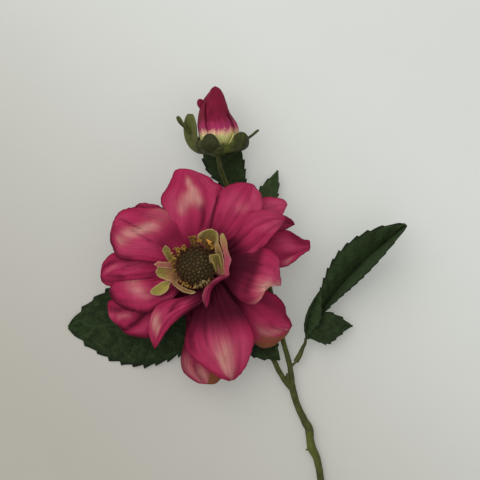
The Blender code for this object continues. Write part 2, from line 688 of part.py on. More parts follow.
def sprig_blades(name, leaflets, cloth):
    """Cloth of a sprig: three leaflets bonded where they meet."""
    pad = lathe("pad", [(0, -CLOTH / 2), (PAD_RADIUS, -CLOTH / 2), (PAD_RADIUS, CLOTH), (0, CLOTH)], 12)
    place(pad, Matrix.Translation(leaflets[0].root))
    fuse(pad, [sheet("leaflet", leaflet_rows(leaflet)) for leaflet in leaflets])
    return finish(pad, name, cloth, 60)


def rib_route(leaflet):
    """Route of the rib that runs under a leaflet."""
    route = []
    for i in range(6):
        u = RIB_END * i / 5
        centre, _, normal = leaflet_frame(leaflet, u)
        radius = RIB_RADIUS * (1 - 0.35 * i / 5)
        route.append((*(centre - normal * RIB_DROP), radius))
    return route


def sprig_stalk(name, leaflets, sleeve, plastic):
    """Plastic of a sprig: an open sleeve, its stalk and a rib under each of the two free leaflets."""
    ribs = [tube("rib", rib_route(leaflet), 5, 1) for leaflet in leaflets[:2]]
    joint = Vector(rib_route(leaflets[0])[0][:3])
    stalk = tube("stalk", (*sleeve, (*joint, RIB_RADIUS + 0.1)), 8, 2)
    fuse(stalk, ribs)
    start, after = Vector(sleeve[0][:3]), Vector(sleeve[1][:3])
    along = (after - start).normalized()
    ends = (start - along, start + along * SLEEVE_DEPTH)
    cut(stalk, tube("bore", [(*end, SLEEVE_BORE) for end in ends], 8, 1))
    return finish(stalk, name, plastic)


def peg(sleeve, foot):
    """Peg of the stem that enters a sleeve, from its foot inside the branch."""
    start, after = Vector(sleeve[0][:3]), Vector(sleeve[1][:3])
    along = (after - start).normalized()
    return tube("peg", (
        (*foot, 0.9),
        (*(0.4 * Vector(foot) + 0.6 * (start - 0.9 * along)), 0.65),
        (*start, PEG_RADIUS),
        (*(start + along * (SLEEVE_DEPTH - GAP - 0.2)), PEG_RADIUS),
    ), 6, 1)


def stem(plastic):
    """Moulded stem: main stem, both branches, the stub at the fork, the nib and the pegs."""
    body = tube("main", MAIN_STEM, 10, 2)
    parts = [
        tube("bud_branch", BUD_BRANCH, 8, 2),
        tube("bloom_branch", BLOOM_BRANCH, 8, 2),
        tube("stub", ((45.2, -59.5, 3.0, 1.4), (45.0, -56.5, 3.2, 1.2), (45.2, -54.4, 3.4, 1.0)), 8, 1),
        tube("nib", ((57.0, -91.5, 2.2, 1.2), (55.2, -92.4, 2.6, 0.7), (53.9, -92.8, 3.0, 0.3)), 6, 1),
        peg(RIGHT_SLEEVE, (45.9, -51.2, 3.2)),
        peg(LEFT_SLEEVE, (27.6, -35.5, 3.0)),
        peg(TOP_SLEEVE, (30.0, 7.5, 6.3)),
    ]
    fuse(body, parts)
    route = [(*point[:3], WIRE_BORE) for point in MAIN_STEM[:-1]]
    start, after = Vector(route[0][:3]), Vector(route[1][:3])
    outside = start - (after - start).normalized() * 2
    cut(body, tube("bore", ((*outside, WIRE_BORE), *route), 6, 2))
    return finish(body, "stem", plastic, 50)


def stem_wire(steel):
    """Steel wire in the main stem, bare for a moment at the cut end."""
    route = [(*point[:3], WIRE_RADIUS) for point in MAIN_STEM[:-1]]
    start, after = Vector(route[0][:3]), Vector(route[1][:3])
    route[0] = (*(start - (after - start).normalized() * WIRE_BARE), WIRE_RADIUS)
    last, before = Vector(route[-1][:3]), Vector(route[-2][:3])
    route[-1] = (*(last - (last - before).normalized() * 0.5), WIRE_RADIUS)
    return finish(tube("wire", route, 6, 2), "stem_wire", steel)


def stand_on_plane(pieces):
    """Parent all the pieces to an empty that sets the origin below the middle of the spray."""
    bpy.context.view_layer.update()
    corners = [piece.matrix_world @ v.co for piece in pieces for v in piece.data.vertices]
    low = [min(c[i] for c in corners) for i in range(3)]
    high = [max(c[i] for c in corners) for i in range(3)]
    spray = bpy.data.objects.new("dahlia_spray", None)
    bpy.context.collection.objects.link(spray)
    spray.location = (-(low[0] + high[0]) / 2, -(low[1] + high[1]) / 2, -low[2])
    for piece in pieces:
        piece.parent = spray
    bpy.context.view_layer.update()


def main():
    remove_objects()
    petal_cloth = material("petal_cloth", (0.38, 0.03, 0.10), 0.7)
    collar_cloth = material("collar_cloth", (0.30, 0.24, 0.08), 0.7)
    leaf_cloth = material("leaf_cloth", (0.025, 0.05, 0.018), 0.6)
    stem_plastic = material("stem_plastic", (0.07, 0.09, 0.02), 0.5)
    stamen_plastic = material("stamen_plastic", (0.42, 0.22, 0.03), 0.6)
    disc_plastic = material("disc_plastic", (0.05, 0.035, 0.01), 0.6)
    bud_cloth = material("bud_cloth", (0.22, 0.02, 0.05), 0.7)
    wire_steel = material("wire_steel", (0.35, 0.34, 0.32), 0.4)
    pieces = [
        stem(stem_plastic),
        stem_wire(wire_steel),
        bloom_calyx(stem_plastic),
        bloom_petals(petal_cloth),
        bloom_petaloids(collar_cloth),
        bloom_stamens(stamen_plastic),
        bloom_disc(disc_plastic),
        bud_calyx(stem_plastic),
        bud_petals(bud_cloth),
    ]
    for side, leaflets, sleeve in (("right", RIGHT_LEAFLETS, RIGHT_SLEEVE),
                                   ("left", LEFT_LEAFLETS, LEFT_SLEEVE),
                                   ("top", TOP_LEAFLETS, TOP_SLEEVE)):
        pieces.append(sprig_blades(f"leaf_{side}_blades", leaflets, leaf_cloth))
        pieces.append(sprig_stalk(f"leaf_{side}_stalk", leaflets, sleeve, stem_plastic))
    stand_on_plane(pieces)


if __name__ == "__main__":
    main()
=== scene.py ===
"""Artificial dahlia spray in finished cloth and plastic, with the studio it is shown in."""

import math
from collections import namedtuple

import bpy
import numpy as np
from bpy.props import FloatProperty, FloatVectorProperty, IntProperty, PointerProperty
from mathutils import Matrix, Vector, noise


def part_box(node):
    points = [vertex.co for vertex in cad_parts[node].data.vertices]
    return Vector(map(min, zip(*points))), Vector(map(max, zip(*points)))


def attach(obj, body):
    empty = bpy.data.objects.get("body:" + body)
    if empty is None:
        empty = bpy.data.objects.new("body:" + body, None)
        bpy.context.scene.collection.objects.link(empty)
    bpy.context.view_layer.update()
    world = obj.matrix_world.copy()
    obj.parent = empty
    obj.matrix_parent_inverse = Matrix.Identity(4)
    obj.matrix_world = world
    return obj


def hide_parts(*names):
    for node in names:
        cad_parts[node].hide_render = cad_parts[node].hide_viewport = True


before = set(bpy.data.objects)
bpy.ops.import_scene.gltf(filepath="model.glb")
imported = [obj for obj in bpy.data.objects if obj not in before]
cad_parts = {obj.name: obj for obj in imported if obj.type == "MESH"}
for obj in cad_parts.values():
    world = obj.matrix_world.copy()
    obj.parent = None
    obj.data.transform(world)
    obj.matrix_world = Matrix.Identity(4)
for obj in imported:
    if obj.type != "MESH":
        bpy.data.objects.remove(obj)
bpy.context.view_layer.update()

bl_info = {
    "name": "Artificial Dahlia Spray",
    "version": (1, 0, 0),
    "blender": (4, 5, 0),
    "location": "3D View > Sidebar > Dahlia",
    "description": "Bloom, bud, leaves and stem of an artificial dahlia spray, with its studio",
    "category": "Add Mesh",
}

DISC_BOTTOM = 32.4  # height of the seed head's foot above the design's zero, in millimetres


def design_origin():
    """Place of the design's zero, on the axis of the bloom, in metres."""
    low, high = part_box("bloom_disc")
    return np.array([(low[0] + high[0]) / 2, (low[1] + high[1]) / 2, low[2] - DISC_BOTTOM / 1000])


ORIGIN = design_origin()

# ------------------------------------------------------------------ sizes, in millimetres
GAP = 0.3  # between the layers of the bloom
FRILL_LENGTH = 2.3  # from one wave of a frilled edge to the next
CALYX_BOTTOM = 7.0
CALYX_TOP = 19.7
CALYX_RADIUS = 7.5
CALYX_SEPALS = 8
PETAL_HUB_TOP = 28.0
PETAL_HUB_RADIUS = 7.0
COLLAR_TOP = 30.3
COLLAR_RADIUS = 7.6
STAMEN_RING_TOP = 32.1
STAMEN_RING_RADIUS = 7.8
DISC_RADIUS = 10.0
DISC_TOP = 40.4
DISC_EDGE = 2.4
BUD_BASE = np.array([10.0, 58.5, 16.2])
BUD_TIP = np.array([8.0, 88.0, 17.2])
BUD_LENGTH = float(np.linalg.norm(BUD_TIP - BUD_BASE))
BUD_SEAT = 2.5
BUD_FOOT = -0.10  # where the bud's cloth starts, inside the cup, as a share of its length
RIB_RADIUS = 0.6
RIB_DROP = 0.85  # from a leaflet's midline down to the middle of the rib under it
SLEEVE_RADIUS = 1.35
SLEEVE_BORE = 0.85
PEG_RADIUS = 0.55
PEG_LENGTH = 2.9
WIRE_BORE = 1.0
GOLDEN_ANGLE = 137.508  # turn from one seed to the next, in degrees
THREAD_TURN = 6.283  # radians of the weave's waves in one thread

# How a petal is coloured. Pale, pink and dark patches each run from (side, along) to (side, along) with a
# width and a strength: the pale and pink ones are partly printed streaks and partly painted highlight on
# ridges and sheen, the dark ones partly dark dye and partly painted shadow in the folds. Then how dark its
# base is, with dark dye and painted shade, how far up that reaches, how much painted shade darkens it as a
# whole, and its olive stain as strength, side, width and start.
Look = namedtuple("Look", "pale pink dark base reach shade olive")

# A petal cut to an outline: its azimuth, the radius and height of its midline's three control
# points, its right and left outlines as (along, across), its cup angles, its grooves with their
# side at the root and at the tip, depth and width, its frilled edge as side, start and end, and
# its look.
Cut = namedtuple("Cut", "azimuth root mid tip right left cup grooves frill look")

# A small flap cut to an outline: right and left outlines and tip as (x, y), the heights of its
# root, middle and tip, how far its middle sinks, how far each side is raised, and its look.
Flap = namedtuple("Flap", "right left tip lift cup raised look")

# One side of a sepal: its half width, where it is broadest, and how pointed its end is.
Half = namedtuple("Half", "half widest point")

# A sepal or finger round an axis: azimuth, radius and height of its midline's three control points,
# its two sides, its width at the root against its widest, how far it rolls, and its cup angles.
Blade = namedtuple("Blade", "root mid tip right left neck roll cup")

# A leaflet: its midrib's three control points, its half width, where it is broadest, how far its
# halves fold up, how much they arch back down, and its teeth on each side.
Leaflet = namedtuple("Leaflet", "root mid tip half widest folds arch teeth")

NO_FRILL = (0, 0, 0)
CLEAN = (0, 0, 1, 0)

FRONT_PETALS = (
    Cut(97, (4, 24.8), (26, 34), (48, 27),
        ((15.5, -9.5), (23, -15), (30, -18), (36, -17.5), (39, -14), (42.5, -10.5), (44.5, -7), (46.5, -3)),
        ((12, 6.5), (16.3, 9.6), (20, 11.6), (24.5, 12.0), (29.5, 12.6), (32.7, 13.6), (35.5, 12.9),
         (41, 8.7), (47.3, 4.7),
         (47.5, 0.5)),
        (18, 18), ((0.55, 0.68, 0.7, 0.10), (-0.15, 0.40, 0.9, 0.08), (-0.3, -0.55, 0.9, 0.10),
                   (-0.9, -0.35, 0.6, 0.10)), (1, 0.24, 0.52),
        Look(((-0.12, 0.56, 0.10, 0.76, 0.14, 0.85), (0.22, 0.60, 0.42, 0.50, 0.13, 0.80),
              (0.0, 0.62, 0.16, 0.58, 0.14, 0.60)),
             ((0.75, 0.34, 0.82, 0.50, 0.20, 0.55), (-0.63, 0.38, -0.62, 0.55, 0.10, 0.50),
              (0.40, 0.42, 0.65, 0.62, 0.20, 0.45),
              (-0.60, 0.72, -0.45, 0.95, 0.22, 0.90)),
             ((-0.42, 0.33, -0.24, 0.50, 0.13, 0.55), (0.15, 0.20, 0.15, 0.38, 0.20, 0.20),
              (0.45, 0.82, 0.50, 0.60, 0.07, 0.30)),
             0.42, 0.34, 0.0, CLEAN)),
    Cut(57.5, (4, 24.8), (25.5, 36), (47, 27),
        ((14.5, -5), (22.5, -8.5), (31, -11), (38.5, -12), (42.5, -11), (45, -9), (46.5, -6.5),
         (47.5, -3.5), (48, -1.5)),
        ((14.5, 2.5), (19, 4.5), (26.5, 7.5), (33, 9.5), (38, 9.6), (42.5, 7.2), (45, 4.4), (47, 1.2)),
        (25, 22), ((0.22, 0.10, 0.8, 0.09), (-0.20, -0.36, 0.8, 0.09), (0.6, 0.5, 0.4, 0.10),
                   (-0.55, -0.7, 0.4, 0.10)), NO_FRILL,
        Look(((-0.35, 0.66, -0.10, 0.62, 0.10, 0.20),),
             ((-0.85, 0.72, -0.50, 0.78, 0.20, 1.0), (-0.35, 0.66, 0.20, 0.66, 0.20, 0.85),
              (0.3, 0.64, 0.6, 0.66, 0.28, 0.55),
              (-0.80, 0.86, -0.60, 0.88, 0.18, 0.60)),
             ((0.97, 0.30, 0.97, 0.62, 0.13, 0.80), (0.05, 0.35, 0.05, 0.62, 0.06, 0.40),
              (-0.85, 0.46, -0.80, 0.56, 0.16, 0.35),
              (0.45, 0.44, 0.55, 0.48, 0.14, 0.35)), 0.7, 0.44, 0.0, CLEAN)),
    Cut(26.5, (4, 24.8), (26, 35), (48, 27),
        ((14, -4), (19.5, -6), (24, -7.5), (28.5, -7.5), (32.5, -6.5), (37.5, -4.5), (41.5, -2.5),
         (44.5, -1.5), (47.5, 0)),
        ((15, 2), (19.5, 5), (26.5, 10), (32.5, 12), (38, 11.5), (43.5, 8.5), (47, 5), (49, 2)),
        (25, 20), ((0.0, 0.15, 1.0, 0.09), (-0.45, -0.55, 1.0, 0.11), (0.6, 0.5, 0.5, 0.10)), NO_FRILL,
        Look((), ((-0.55, 0.80, -0.10, 0.72, 0.15, 0.80), (0.15, 0.66, 0.70, 0.68, 0.22, 0.35),
                  (-0.85, 0.50, -0.88, 0.72, 0.12, 0.35),
                 (0.50, 0.82, 0.90, 0.84, 0.22, 0.55), (-0.80, 0.88, 0.10, 0.86, 0.20, 0.75)),
             ((-0.60, 0.36, -0.58, 0.66, 0.05, 0.55), (-0.30, 0.90, 0.10, 0.78, 0.06, 0.30),
              (-0.90, 0.80, -0.50, 0.68, 0.06, 0.30)),
             1.0, 0.52, 0.02, CLEAN)),
    Cut(-12, (4, 24.8), (32.5, 37), (41, 31.5),
        ((13, -3.5), (19.5, -9), (25, -12.5), (28.5, -13), (31.5, -12), (33.5, -9.5), (34.5, -5.5),
         (36.5, -2.5), (39, -1.5)),
        ((13, 6.5), (19, 11), (26.5, 14.5), (31, 15.5), (34, 15), (37, 13), (39, 10), (39.5, 6.5), (42, 0)),
        (24, 32), ((0.5, 0.35, 0.5, 0.07), (0.68, 0.52, 0.4, 0.06), (-0.05, 0.1, 0.7, 0.10),
                   (-0.5, -0.35, 0.6, 0.10)), NO_FRILL,
        Look(((-0.75, 1.0, -0.32, 0.77, 0.28, 1.6), (-1.0, 0.97, -0.95, 0.74, 0.22, 0.80),
              (-0.3, 0.97, 0.7, 0.99, 0.15, 1.0)),
             ((0.0, 0.76, 0.30, 0.96, 0.40, 0.90), (0.80, 0.30, 0.80, 0.46, 0.10, 0.40),
              (0.85, 0.80, 0.60, 0.96, 0.20, 0.70)),
             ((0.28, 0.40, 0.10, 0.28, 0.35, 0.8), (0.13, 0.60, 0.22, 0.78, 0.04, 0.35),
              (0.40, 0.58, 0.50, 0.74, 0.04, 0.35),
              (-0.60, 0.54, 0.90, 0.53, 0.14, 0.60), (-0.90, 0.56, -0.80, 0.62, 0.15, 0.50)), 1.0, 0.56,
             0.0, CLEAN)),
    Cut(-74.5, (4, 24.8), (31, 36), (58, 22),
        ((8, 2.5), (14.5, -3), (21, -7.5), (28.5, -12.5), (34.5, -15.5), (40.5, -15), (47, -11),
         (54, -5.5), (58.5, -0.5)),
        ((9.5, 8), (18.5, 11.5), (26.5, 15), (36, 18), (40.5, 18), (46.5, 15), (54, 9.9), (58.6, 3)),
        (25, 25), ((-0.72, -0.70, 0.7, 0.08), (-0.40, -0.50, 1.0, 0.08), (-0.12, -0.05, 0.9, 0.06),
                   (0.18, 0.36, 1.1, 0.07), (0.55, 0.62, 0.9, 0.08)), NO_FRILL,
        Look(((0.06, 0.70, 0.08, 0.88, 0.25, 1.0), (-0.26, 0.86, -0.16, 0.74, 0.12, 0.95)),
             ((-0.36, 0.66, -0.30, 0.86, 0.22, 0.75), (0.60, 0.66, 0.80, 0.74, 0.25, 0.70),
              (0.0, 0.58, 0.05, 0.64, 0.30, 0.70),
              (-0.75, 0.70, -0.70, 0.82, 0.22, 0.35), (-0.20, 0.36, -0.15, 0.46, 0.10, 0.30),
              (0.78, 0.38, 0.80, 0.46, 0.12, 0.30)),
             ((-0.85, 0.50, -0.82, 0.60, 0.12, 0.55), (0.40, 0.90, 0.62, 0.80, 0.10, 0.30),
              (-0.40, 0.42, -0.38, 0.62, 0.05, 0.45),
              (0.36, 0.45, 0.36, 0.64, 0.04, 0.45), (0.08, 0.44, 0.10, 0.66, 0.03, 0.35),
              (-0.85, 0.84, -0.75, 0.90, 0.14, 0.35)),
             1.0, 0.56, 0.0, CLEAN)),
    Cut(199, (4, 24.8), (24.9, 34), (45.8, 26),
        ((6.5, -1), (13.5, 0), (23.5, -1.5), (33, -3.8), (40.0, -5.4), (43.1, -4.3), (44.3, -1.5)),
        ((8, 6.5), (16.5, 11.5), (23.5, 13), (28.5, 14), (33.5, 12.5), (39.5, 9), (43.3, 4.5), (44.3, 1.7)),
        (30, 20), ((0.50, 0.40, 0.5, 0.12), (-0.75, -0.8, 0.5, 0.08)), NO_FRILL,
        Look(((-0.90, 0.64, -0.35, 0.62, 0.20, 0.46), (-0.2, 0.61, 0.10, 0.54, 0.14, 0.32)),
             ((0.20, 0.49, 0.97, 0.26, 0.09, 0.85), (-0.6, 0.64, 0.2, 0.62, 0.24, 0.75)),
             ((0.95, 0.42, 0.90, 0.80, 0.20, 0.75), (0.25, 0.28, 0.30, 0.38, 0.18, 0.60),
              (-0.85, 0.42, -0.50, 0.46, 0.12, 0.35),
              (-1.0, 0.95, 1.0, 0.95, 0.22, 0.85), (0.40, 0.82, 0.90, 0.82, 0.20, 0.45),
              (0.60, 0.20, 0.90, 0.24, 0.20, 0.60)),
             0.5, 0.28, 0.0, CLEAN)),
    Cut(155, (4, 24.8), (25.25, 36), (46.5, 25),
        ((8, -8), (14, -13.5), (21, -17.5), (27, -18), (33, -15.9), (40.0, -12.9), (44.6, -9.0),
         (46.0, -4.8),
         (45.8, -1.6)),
        ((8.5, 3), (18.5, 7), (26, 9.5), (33, 12.5), (37.3, 12.3), (40.6, 9.4), (43.8, 6), (45.0, 3)),
        (22, 25), ((0.50, -0.45, 1.0, 0.09), (-0.20, -0.90, 0.9, 0.09), (0.6, 0.55, 0.4, 0.12)), NO_FRILL,
        Look(((0.42, 0.74, 0.0, 0.68, 0.16, 0.50), (0.02, 0.66, -0.30, 0.53, 0.17, 0.82),
              (-0.35, 0.50, -0.95, 0.42, 0.14, 0.24),
              (-0.75, 0.56, -0.95, 0.50, 0.14, 0.20)),
             ((0.35, 0.50, 0.75, 0.72, 0.30, 0.50), (-0.55, 0.82, -0.25, 0.86, 0.20, 0.35),
              (0.05, 0.52, 0.20, 0.58, 0.16, 0.60)),
             ((-0.50, 0.84, -0.20, 0.60, 0.045, 0.70), (-0.12, 0.67, 0.22, 0.47, 0.045, 0.60),
              (-0.60, 0.28, 0.20, 0.35, 0.26, 0.50),
              (0.97, 0.60, 0.95, 0.90, 0.20, 0.70), (-0.92, 0.76, -0.75, 0.60, 0.07, 0.35),
              (-0.1, 0.90, 0.7, 0.88, 0.20, 0.45),
              (-0.80, 0.98, 0.0, 0.97, 0.10, 0.70)),
             0.35, 0.24, 0.0, CLEAN)),
)

# The narrow petal at the lower left sweeps sideways, with its outer edge turned up as a rim
SWEPT_GROOVES = ((-0.75, -0.65, 0.5, 0.12), (0.1, 0.1, 0.6, 0.10), (0.55, 0.5, 0.7, 0.08))
SWEPT_PETAL = Flap(
    ((6.2, -7.9), (-0.2, -12.6), (-6.9, -15.2), (-14.2, -16.7), (-19.2, -19.5), (-22.1, -24.3),
     (-23.1, -30.1),
     (-22.3, -35.4)),
    ((7.2, -14.8), (3.6, -16.9), (-2.2, -21.0), (-7.8, -24.8), (-12.4, -29.0), (-15.9, -33.6),
     (-18.6, -37.9)),
    (-20.3, -40.4), (27, 38, 29), -1.2, (0.0, 1.6),
    Look(((-0.50, 0.73, 0.12, 0.80, 0.15, 1.0), (-0.75, 0.72, -0.20, 0.76, 0.15, 0.45)),
         ((-0.75, 0.29, 0.35, 0.50, 0.08, 0.80), (-0.25, 0.64, 0.30, 0.64, 0.18, 0.45),
          (-0.9, 0.70, -0.80, 0.86, 0.20, 0.60)),
         ((-0.60, 0.44, 0.05, 0.58, 0.10, 0.60), (0.70, 0.26, 0.95, 0.44, 0.32, 0.95),
          (0.92, 0.50, 0.90, 0.62, 0.14, 0.55),
          (-0.95, 0.36, -0.40, 0.36, 0.16, 0.50), (-0.1, 0.25, 0.2, 0.32, 0.30, 0.30)), 0.9, 0.40, 0.03,
         CLEAN))
RIM = Flap(
    ((15.5, -4.6), (13.3, -6.3), (10.2, -8.2), (8.0, -10.3), (7.0, -12.5), (6.6, -15.2), (6.1, -17.9)),
    ((13.1, -4.1), (10.4, -5.3), (7.5, -7.0), (5.3, -9.0), (3.7, -11.2), (2.8, -14.0), (3.2, -17.2)),
    (4.9, -20.9), (31, 39.5, 31.5), 0.8, (0, 0),
    Look(((0.75, 0.40, 0.80, 0.90, 0.25, 0.35),),
         ((0.3, 0.30, 0.4, 0.70, 0.45, 0.85),),
         ((-0.30, 0.35, -0.25, 0.80, 0.25, 0.60), (-0.95, 0.35, -0.95, 0.95, 0.35, 0.60),
          (0.5, 0.86, 0.8, 0.96, 0.30, 0.50)), 0.0, 0.1, 0.10, CLEAN))

BACK_PETALS = (
    Cut(35, (4, 21.6), (28.75, 26), (53.5, 18),
        ((11.5, -5), (21, -6.5), (33.5, -7), (43.5, -5.5), (49.5, -3)),
        ((10, 0), (20.5, 5.5), (32, 9.5), (41.5, 9.6), (46, 8.8), (51, 4.9), (54.2, 0.2)),
        (15, 15), ((0.2, 0.2, 0.5, 0.15), (-0.3, -0.3, 0.5, 0.15)), NO_FRILL,
        Look((), ((0.20, 0.78, 0.60, 0.92, 0.40, 1.0), (-0.40, 0.90, 0.40, 0.92, 0.25, 0.85)), (), 1.0,
             0.6, 0.0, CLEAN)),
    Cut(23.5, (4, 21.6), (29.25, 22), (54.5, 14),
        ((13, -3.5), (25, -5), (36.5, -3.5), (44.5, -1.5), (49, -1)),
        ((11, 0), (25.5, 6), (38.5, 8.5), (45.5, 8), (49, 5.5), (51, 3), (52.5, -0.5)),
        (15, 15), ((0.1, 0.1, 0.5, 0.15),), NO_FRILL, Look((), ((-0.60, 0.86, 0.30, 0.87, 0.12, 0.60),),
                       ((0.30, 0.92, 0.80, 0.94, 0.20, 0.40),), 1.0, 0.6, 0.34, CLEAN)),
    Cut(10.5, (4, 21.6), (30.75, 25), (57.5, 16),
        ((13, -3), (27.5, -7), (38.5, -8.5), (43.7, -8.3), (48.0, -6.3), (52, -4.2), (55.8, -2.4)),
        ((11.5, 1.5), (25, 6), (35.5, 9), (46, 9), (50.2, 6.2), (54.2, 2.7), (56.6, 2.6)),
        (20, 20), ((0.6, 0.5, 0.6, 0.12), (-0.6, -0.55, 0.8, 0.10)), NO_FRILL,
        Look(((-0.85, 0.71, -0.70, 0.74, 0.08, 0.35),),
             ((-0.88, 0.71, -0.65, 0.74, 0.13, 0.95), (-0.10, 0.78, 0.45, 0.70, 0.17, 0.70),
              (-0.60, 0.92, -0.10, 0.88, 0.15, 0.30)),
             ((0.35, 0.90, 0.85, 0.82, 0.25, 0.45), (-0.45, 0.78, -0.30, 0.70, 0.07, 0.35)), 1.0, 0.47,
             0.20, CLEAN)),
    Cut(-41, (4, 21.6), (29.5, 28), (55, 15),
        ((11.5, -2), (26.5, -6), (38, -9), (46, -10.5), (50.5, -10), (54, -6.5), (55.5, 0), (55.5, 4.5)),
        ((8.5, 3), (18, 7.5), (27.5, 12), (34, 13.5), (39.5, 14.5), (45, 13.5), (49.5, 10.5), (54, 9)),
        (20, 20), ((0.45, 0.45, 0.6, 0.12), (0.1, 0.0, 0.8, 0.10), (-0.5, -0.5, 0.5, 0.12)), NO_FRILL,
        Look(((-0.42, 0.69, -0.20, 0.82, 0.15, 0.55), (-0.55, 0.99, -0.05, 0.91, 0.05, 0.75)),
             ((0.08, 0.84, 0.30, 0.93, 0.18, 0.65), (-0.40, 0.62, -0.10, 0.66, 0.15, 0.35)),
             ((0.60, 0.60, 0.80, 0.86, 0.25, 0.45), (-0.20, 0.92, -0.04, 0.72, 0.05, 0.45)),
             1.0, 0.51, 0.18, (1.0, -0.88, 0.40, 0.58))),
    Cut(-88, (4, 21.6), (31, 24), (58, 14),
        ((6, -5.5), (11, -8.5), (16.5, -8.5), (26.5, -6.5), (36.5, -7.5), (42, -8.8), (47, -9.9),
         (52, -9.0),
         (55.8, -5.4), (58.4, -1.5)),
        ((6, 3), (19.5, 8.5), (37, 13), (49.5, 13.5), (56.5, 9.5), (59, 5.5)),
        (20, 20), ((-0.5, -0.55, 0.7, 0.12), (-1.6, 0.2, 0.9, 0.12), (0.5, 0.4, 0.6, 0.14)), NO_FRILL,
        Look(((-0.80, 0.74, -0.45, 0.88, 0.20, 0.55), (-0.20, 0.80, 0.20, 0.90, 0.16, 0.80)), (),
             ((-0.45, 0.74, -0.30, 0.88, 0.06, 0.45), (-0.95, 0.62, -0.90, 0.80, 0.14, 0.40)), 0.9, 0.6,
             0.22,
             (1.0, 0.66, 0.60, 0.72))),
    Cut(214, (4, 21.6), (27.25, 26), (50.5, 15),
        ((5.5, 0), (14.5, -2.5), (26.5, -6), (38.5, -9), (46, -10), (48.5, -7.5), (50.5, -2.5), (48.5, 3)),
        ((7.5, 4.5), (23.5, 11.5), (33.5, 15.5), (39, 16.5), (44, 13), (48.5, 7.5)),
        (20, 20), ((0.25, 0.0, -0.9, 0.09), (-0.5, -0.5, 0.7, 0.12), (0.70, 0.65, 0.6, 0.10)), NO_FRILL,
        Look(((-0.38, 0.79, -0.12, 0.70, 0.06, 0.50),),
             ((-1.0, 0.86, -0.12, 0.70, 0.10, 1.0), (0.45, 0.62, 0.58, 0.74, 0.11, 0.60)),
             ((0.15, 0.56, 0.25, 0.76, 0.12, 0.85), (-0.35, 0.92, 0.35, 0.86, 0.16, 0.75),
              (-0.85, 0.78, -0.45, 0.72, 0.10, 0.60),
              (-0.8, 0.98, 0.2, 0.95, 0.20, 1.0), (0.95, 0.72, 0.85, 0.92, 0.22, 0.70)),
             1.0, 0.5, 0.06, CLEAN)),
    Cut(186, (4, 21.6), (26.25, 30), (48.5, 20),
        ((5, -2.5), (17.5, -6), (32, -9.5), (40, -10.5), (44, -8), (46, -5.5), (48, 0)),
        ((5.5, 2.5), (19, 7), (33.5, 8.5), (42.5, 6), (47, 3.5)),
        (15, 15), ((-0.25, 0.05, 0.7, 0.09), (0.1, 0.4, 0.7, 0.09), (-0.75, -0.6, 0.6, 0.09)), NO_FRILL,
        Look(((-0.30, 0.74, -0.28, 0.82, 0.08, 0.20),),
             ((-0.30, 0.66, -0.25, 0.84, 0.13, 0.45), (-0.55, 0.44, -0.48, 0.56, 0.14, 0.60),
              (0.12, 0.67, -0.10, 0.50, 0.06, 0.80), (-0.38, 0.44, -0.15, 0.62, 0.05, 0.50)),
             ((-0.70, 0.86, -0.55, 0.74, 0.13, 0.60), (-0.18, 0.67, -0.38, 0.50, 0.045, 0.45),
              (0.08, 0.84, 0.30, 0.70, 0.10, 0.50),
              (0.20, 0.36, 0.70, 0.50, 0.20, 0.45), (0.55, 0.74, 0.60, 0.90, 0.25, 0.45),
              (-0.6, 0.97, 0.4, 0.97, 0.15, 0.60)),
             0.4, 0.30, 0.10, CLEAN)),
    Cut(133, (4, 21.6), (22.25, 26), (40.5, 18),
        ((11, -6.5), (25.5, -9), (32.5, -7), (37, -4.5), (41.5, -0.5)),
        ((7, -2), (17, -1.5), (28, 2), (37.5, 3.5), (41.5, 3)),
        (15, 15), ((0, 0, 0.5, 0.2),), NO_FRILL, Look((), (), (), 1.0, 0.6, 0.35, CLEAN)),
)
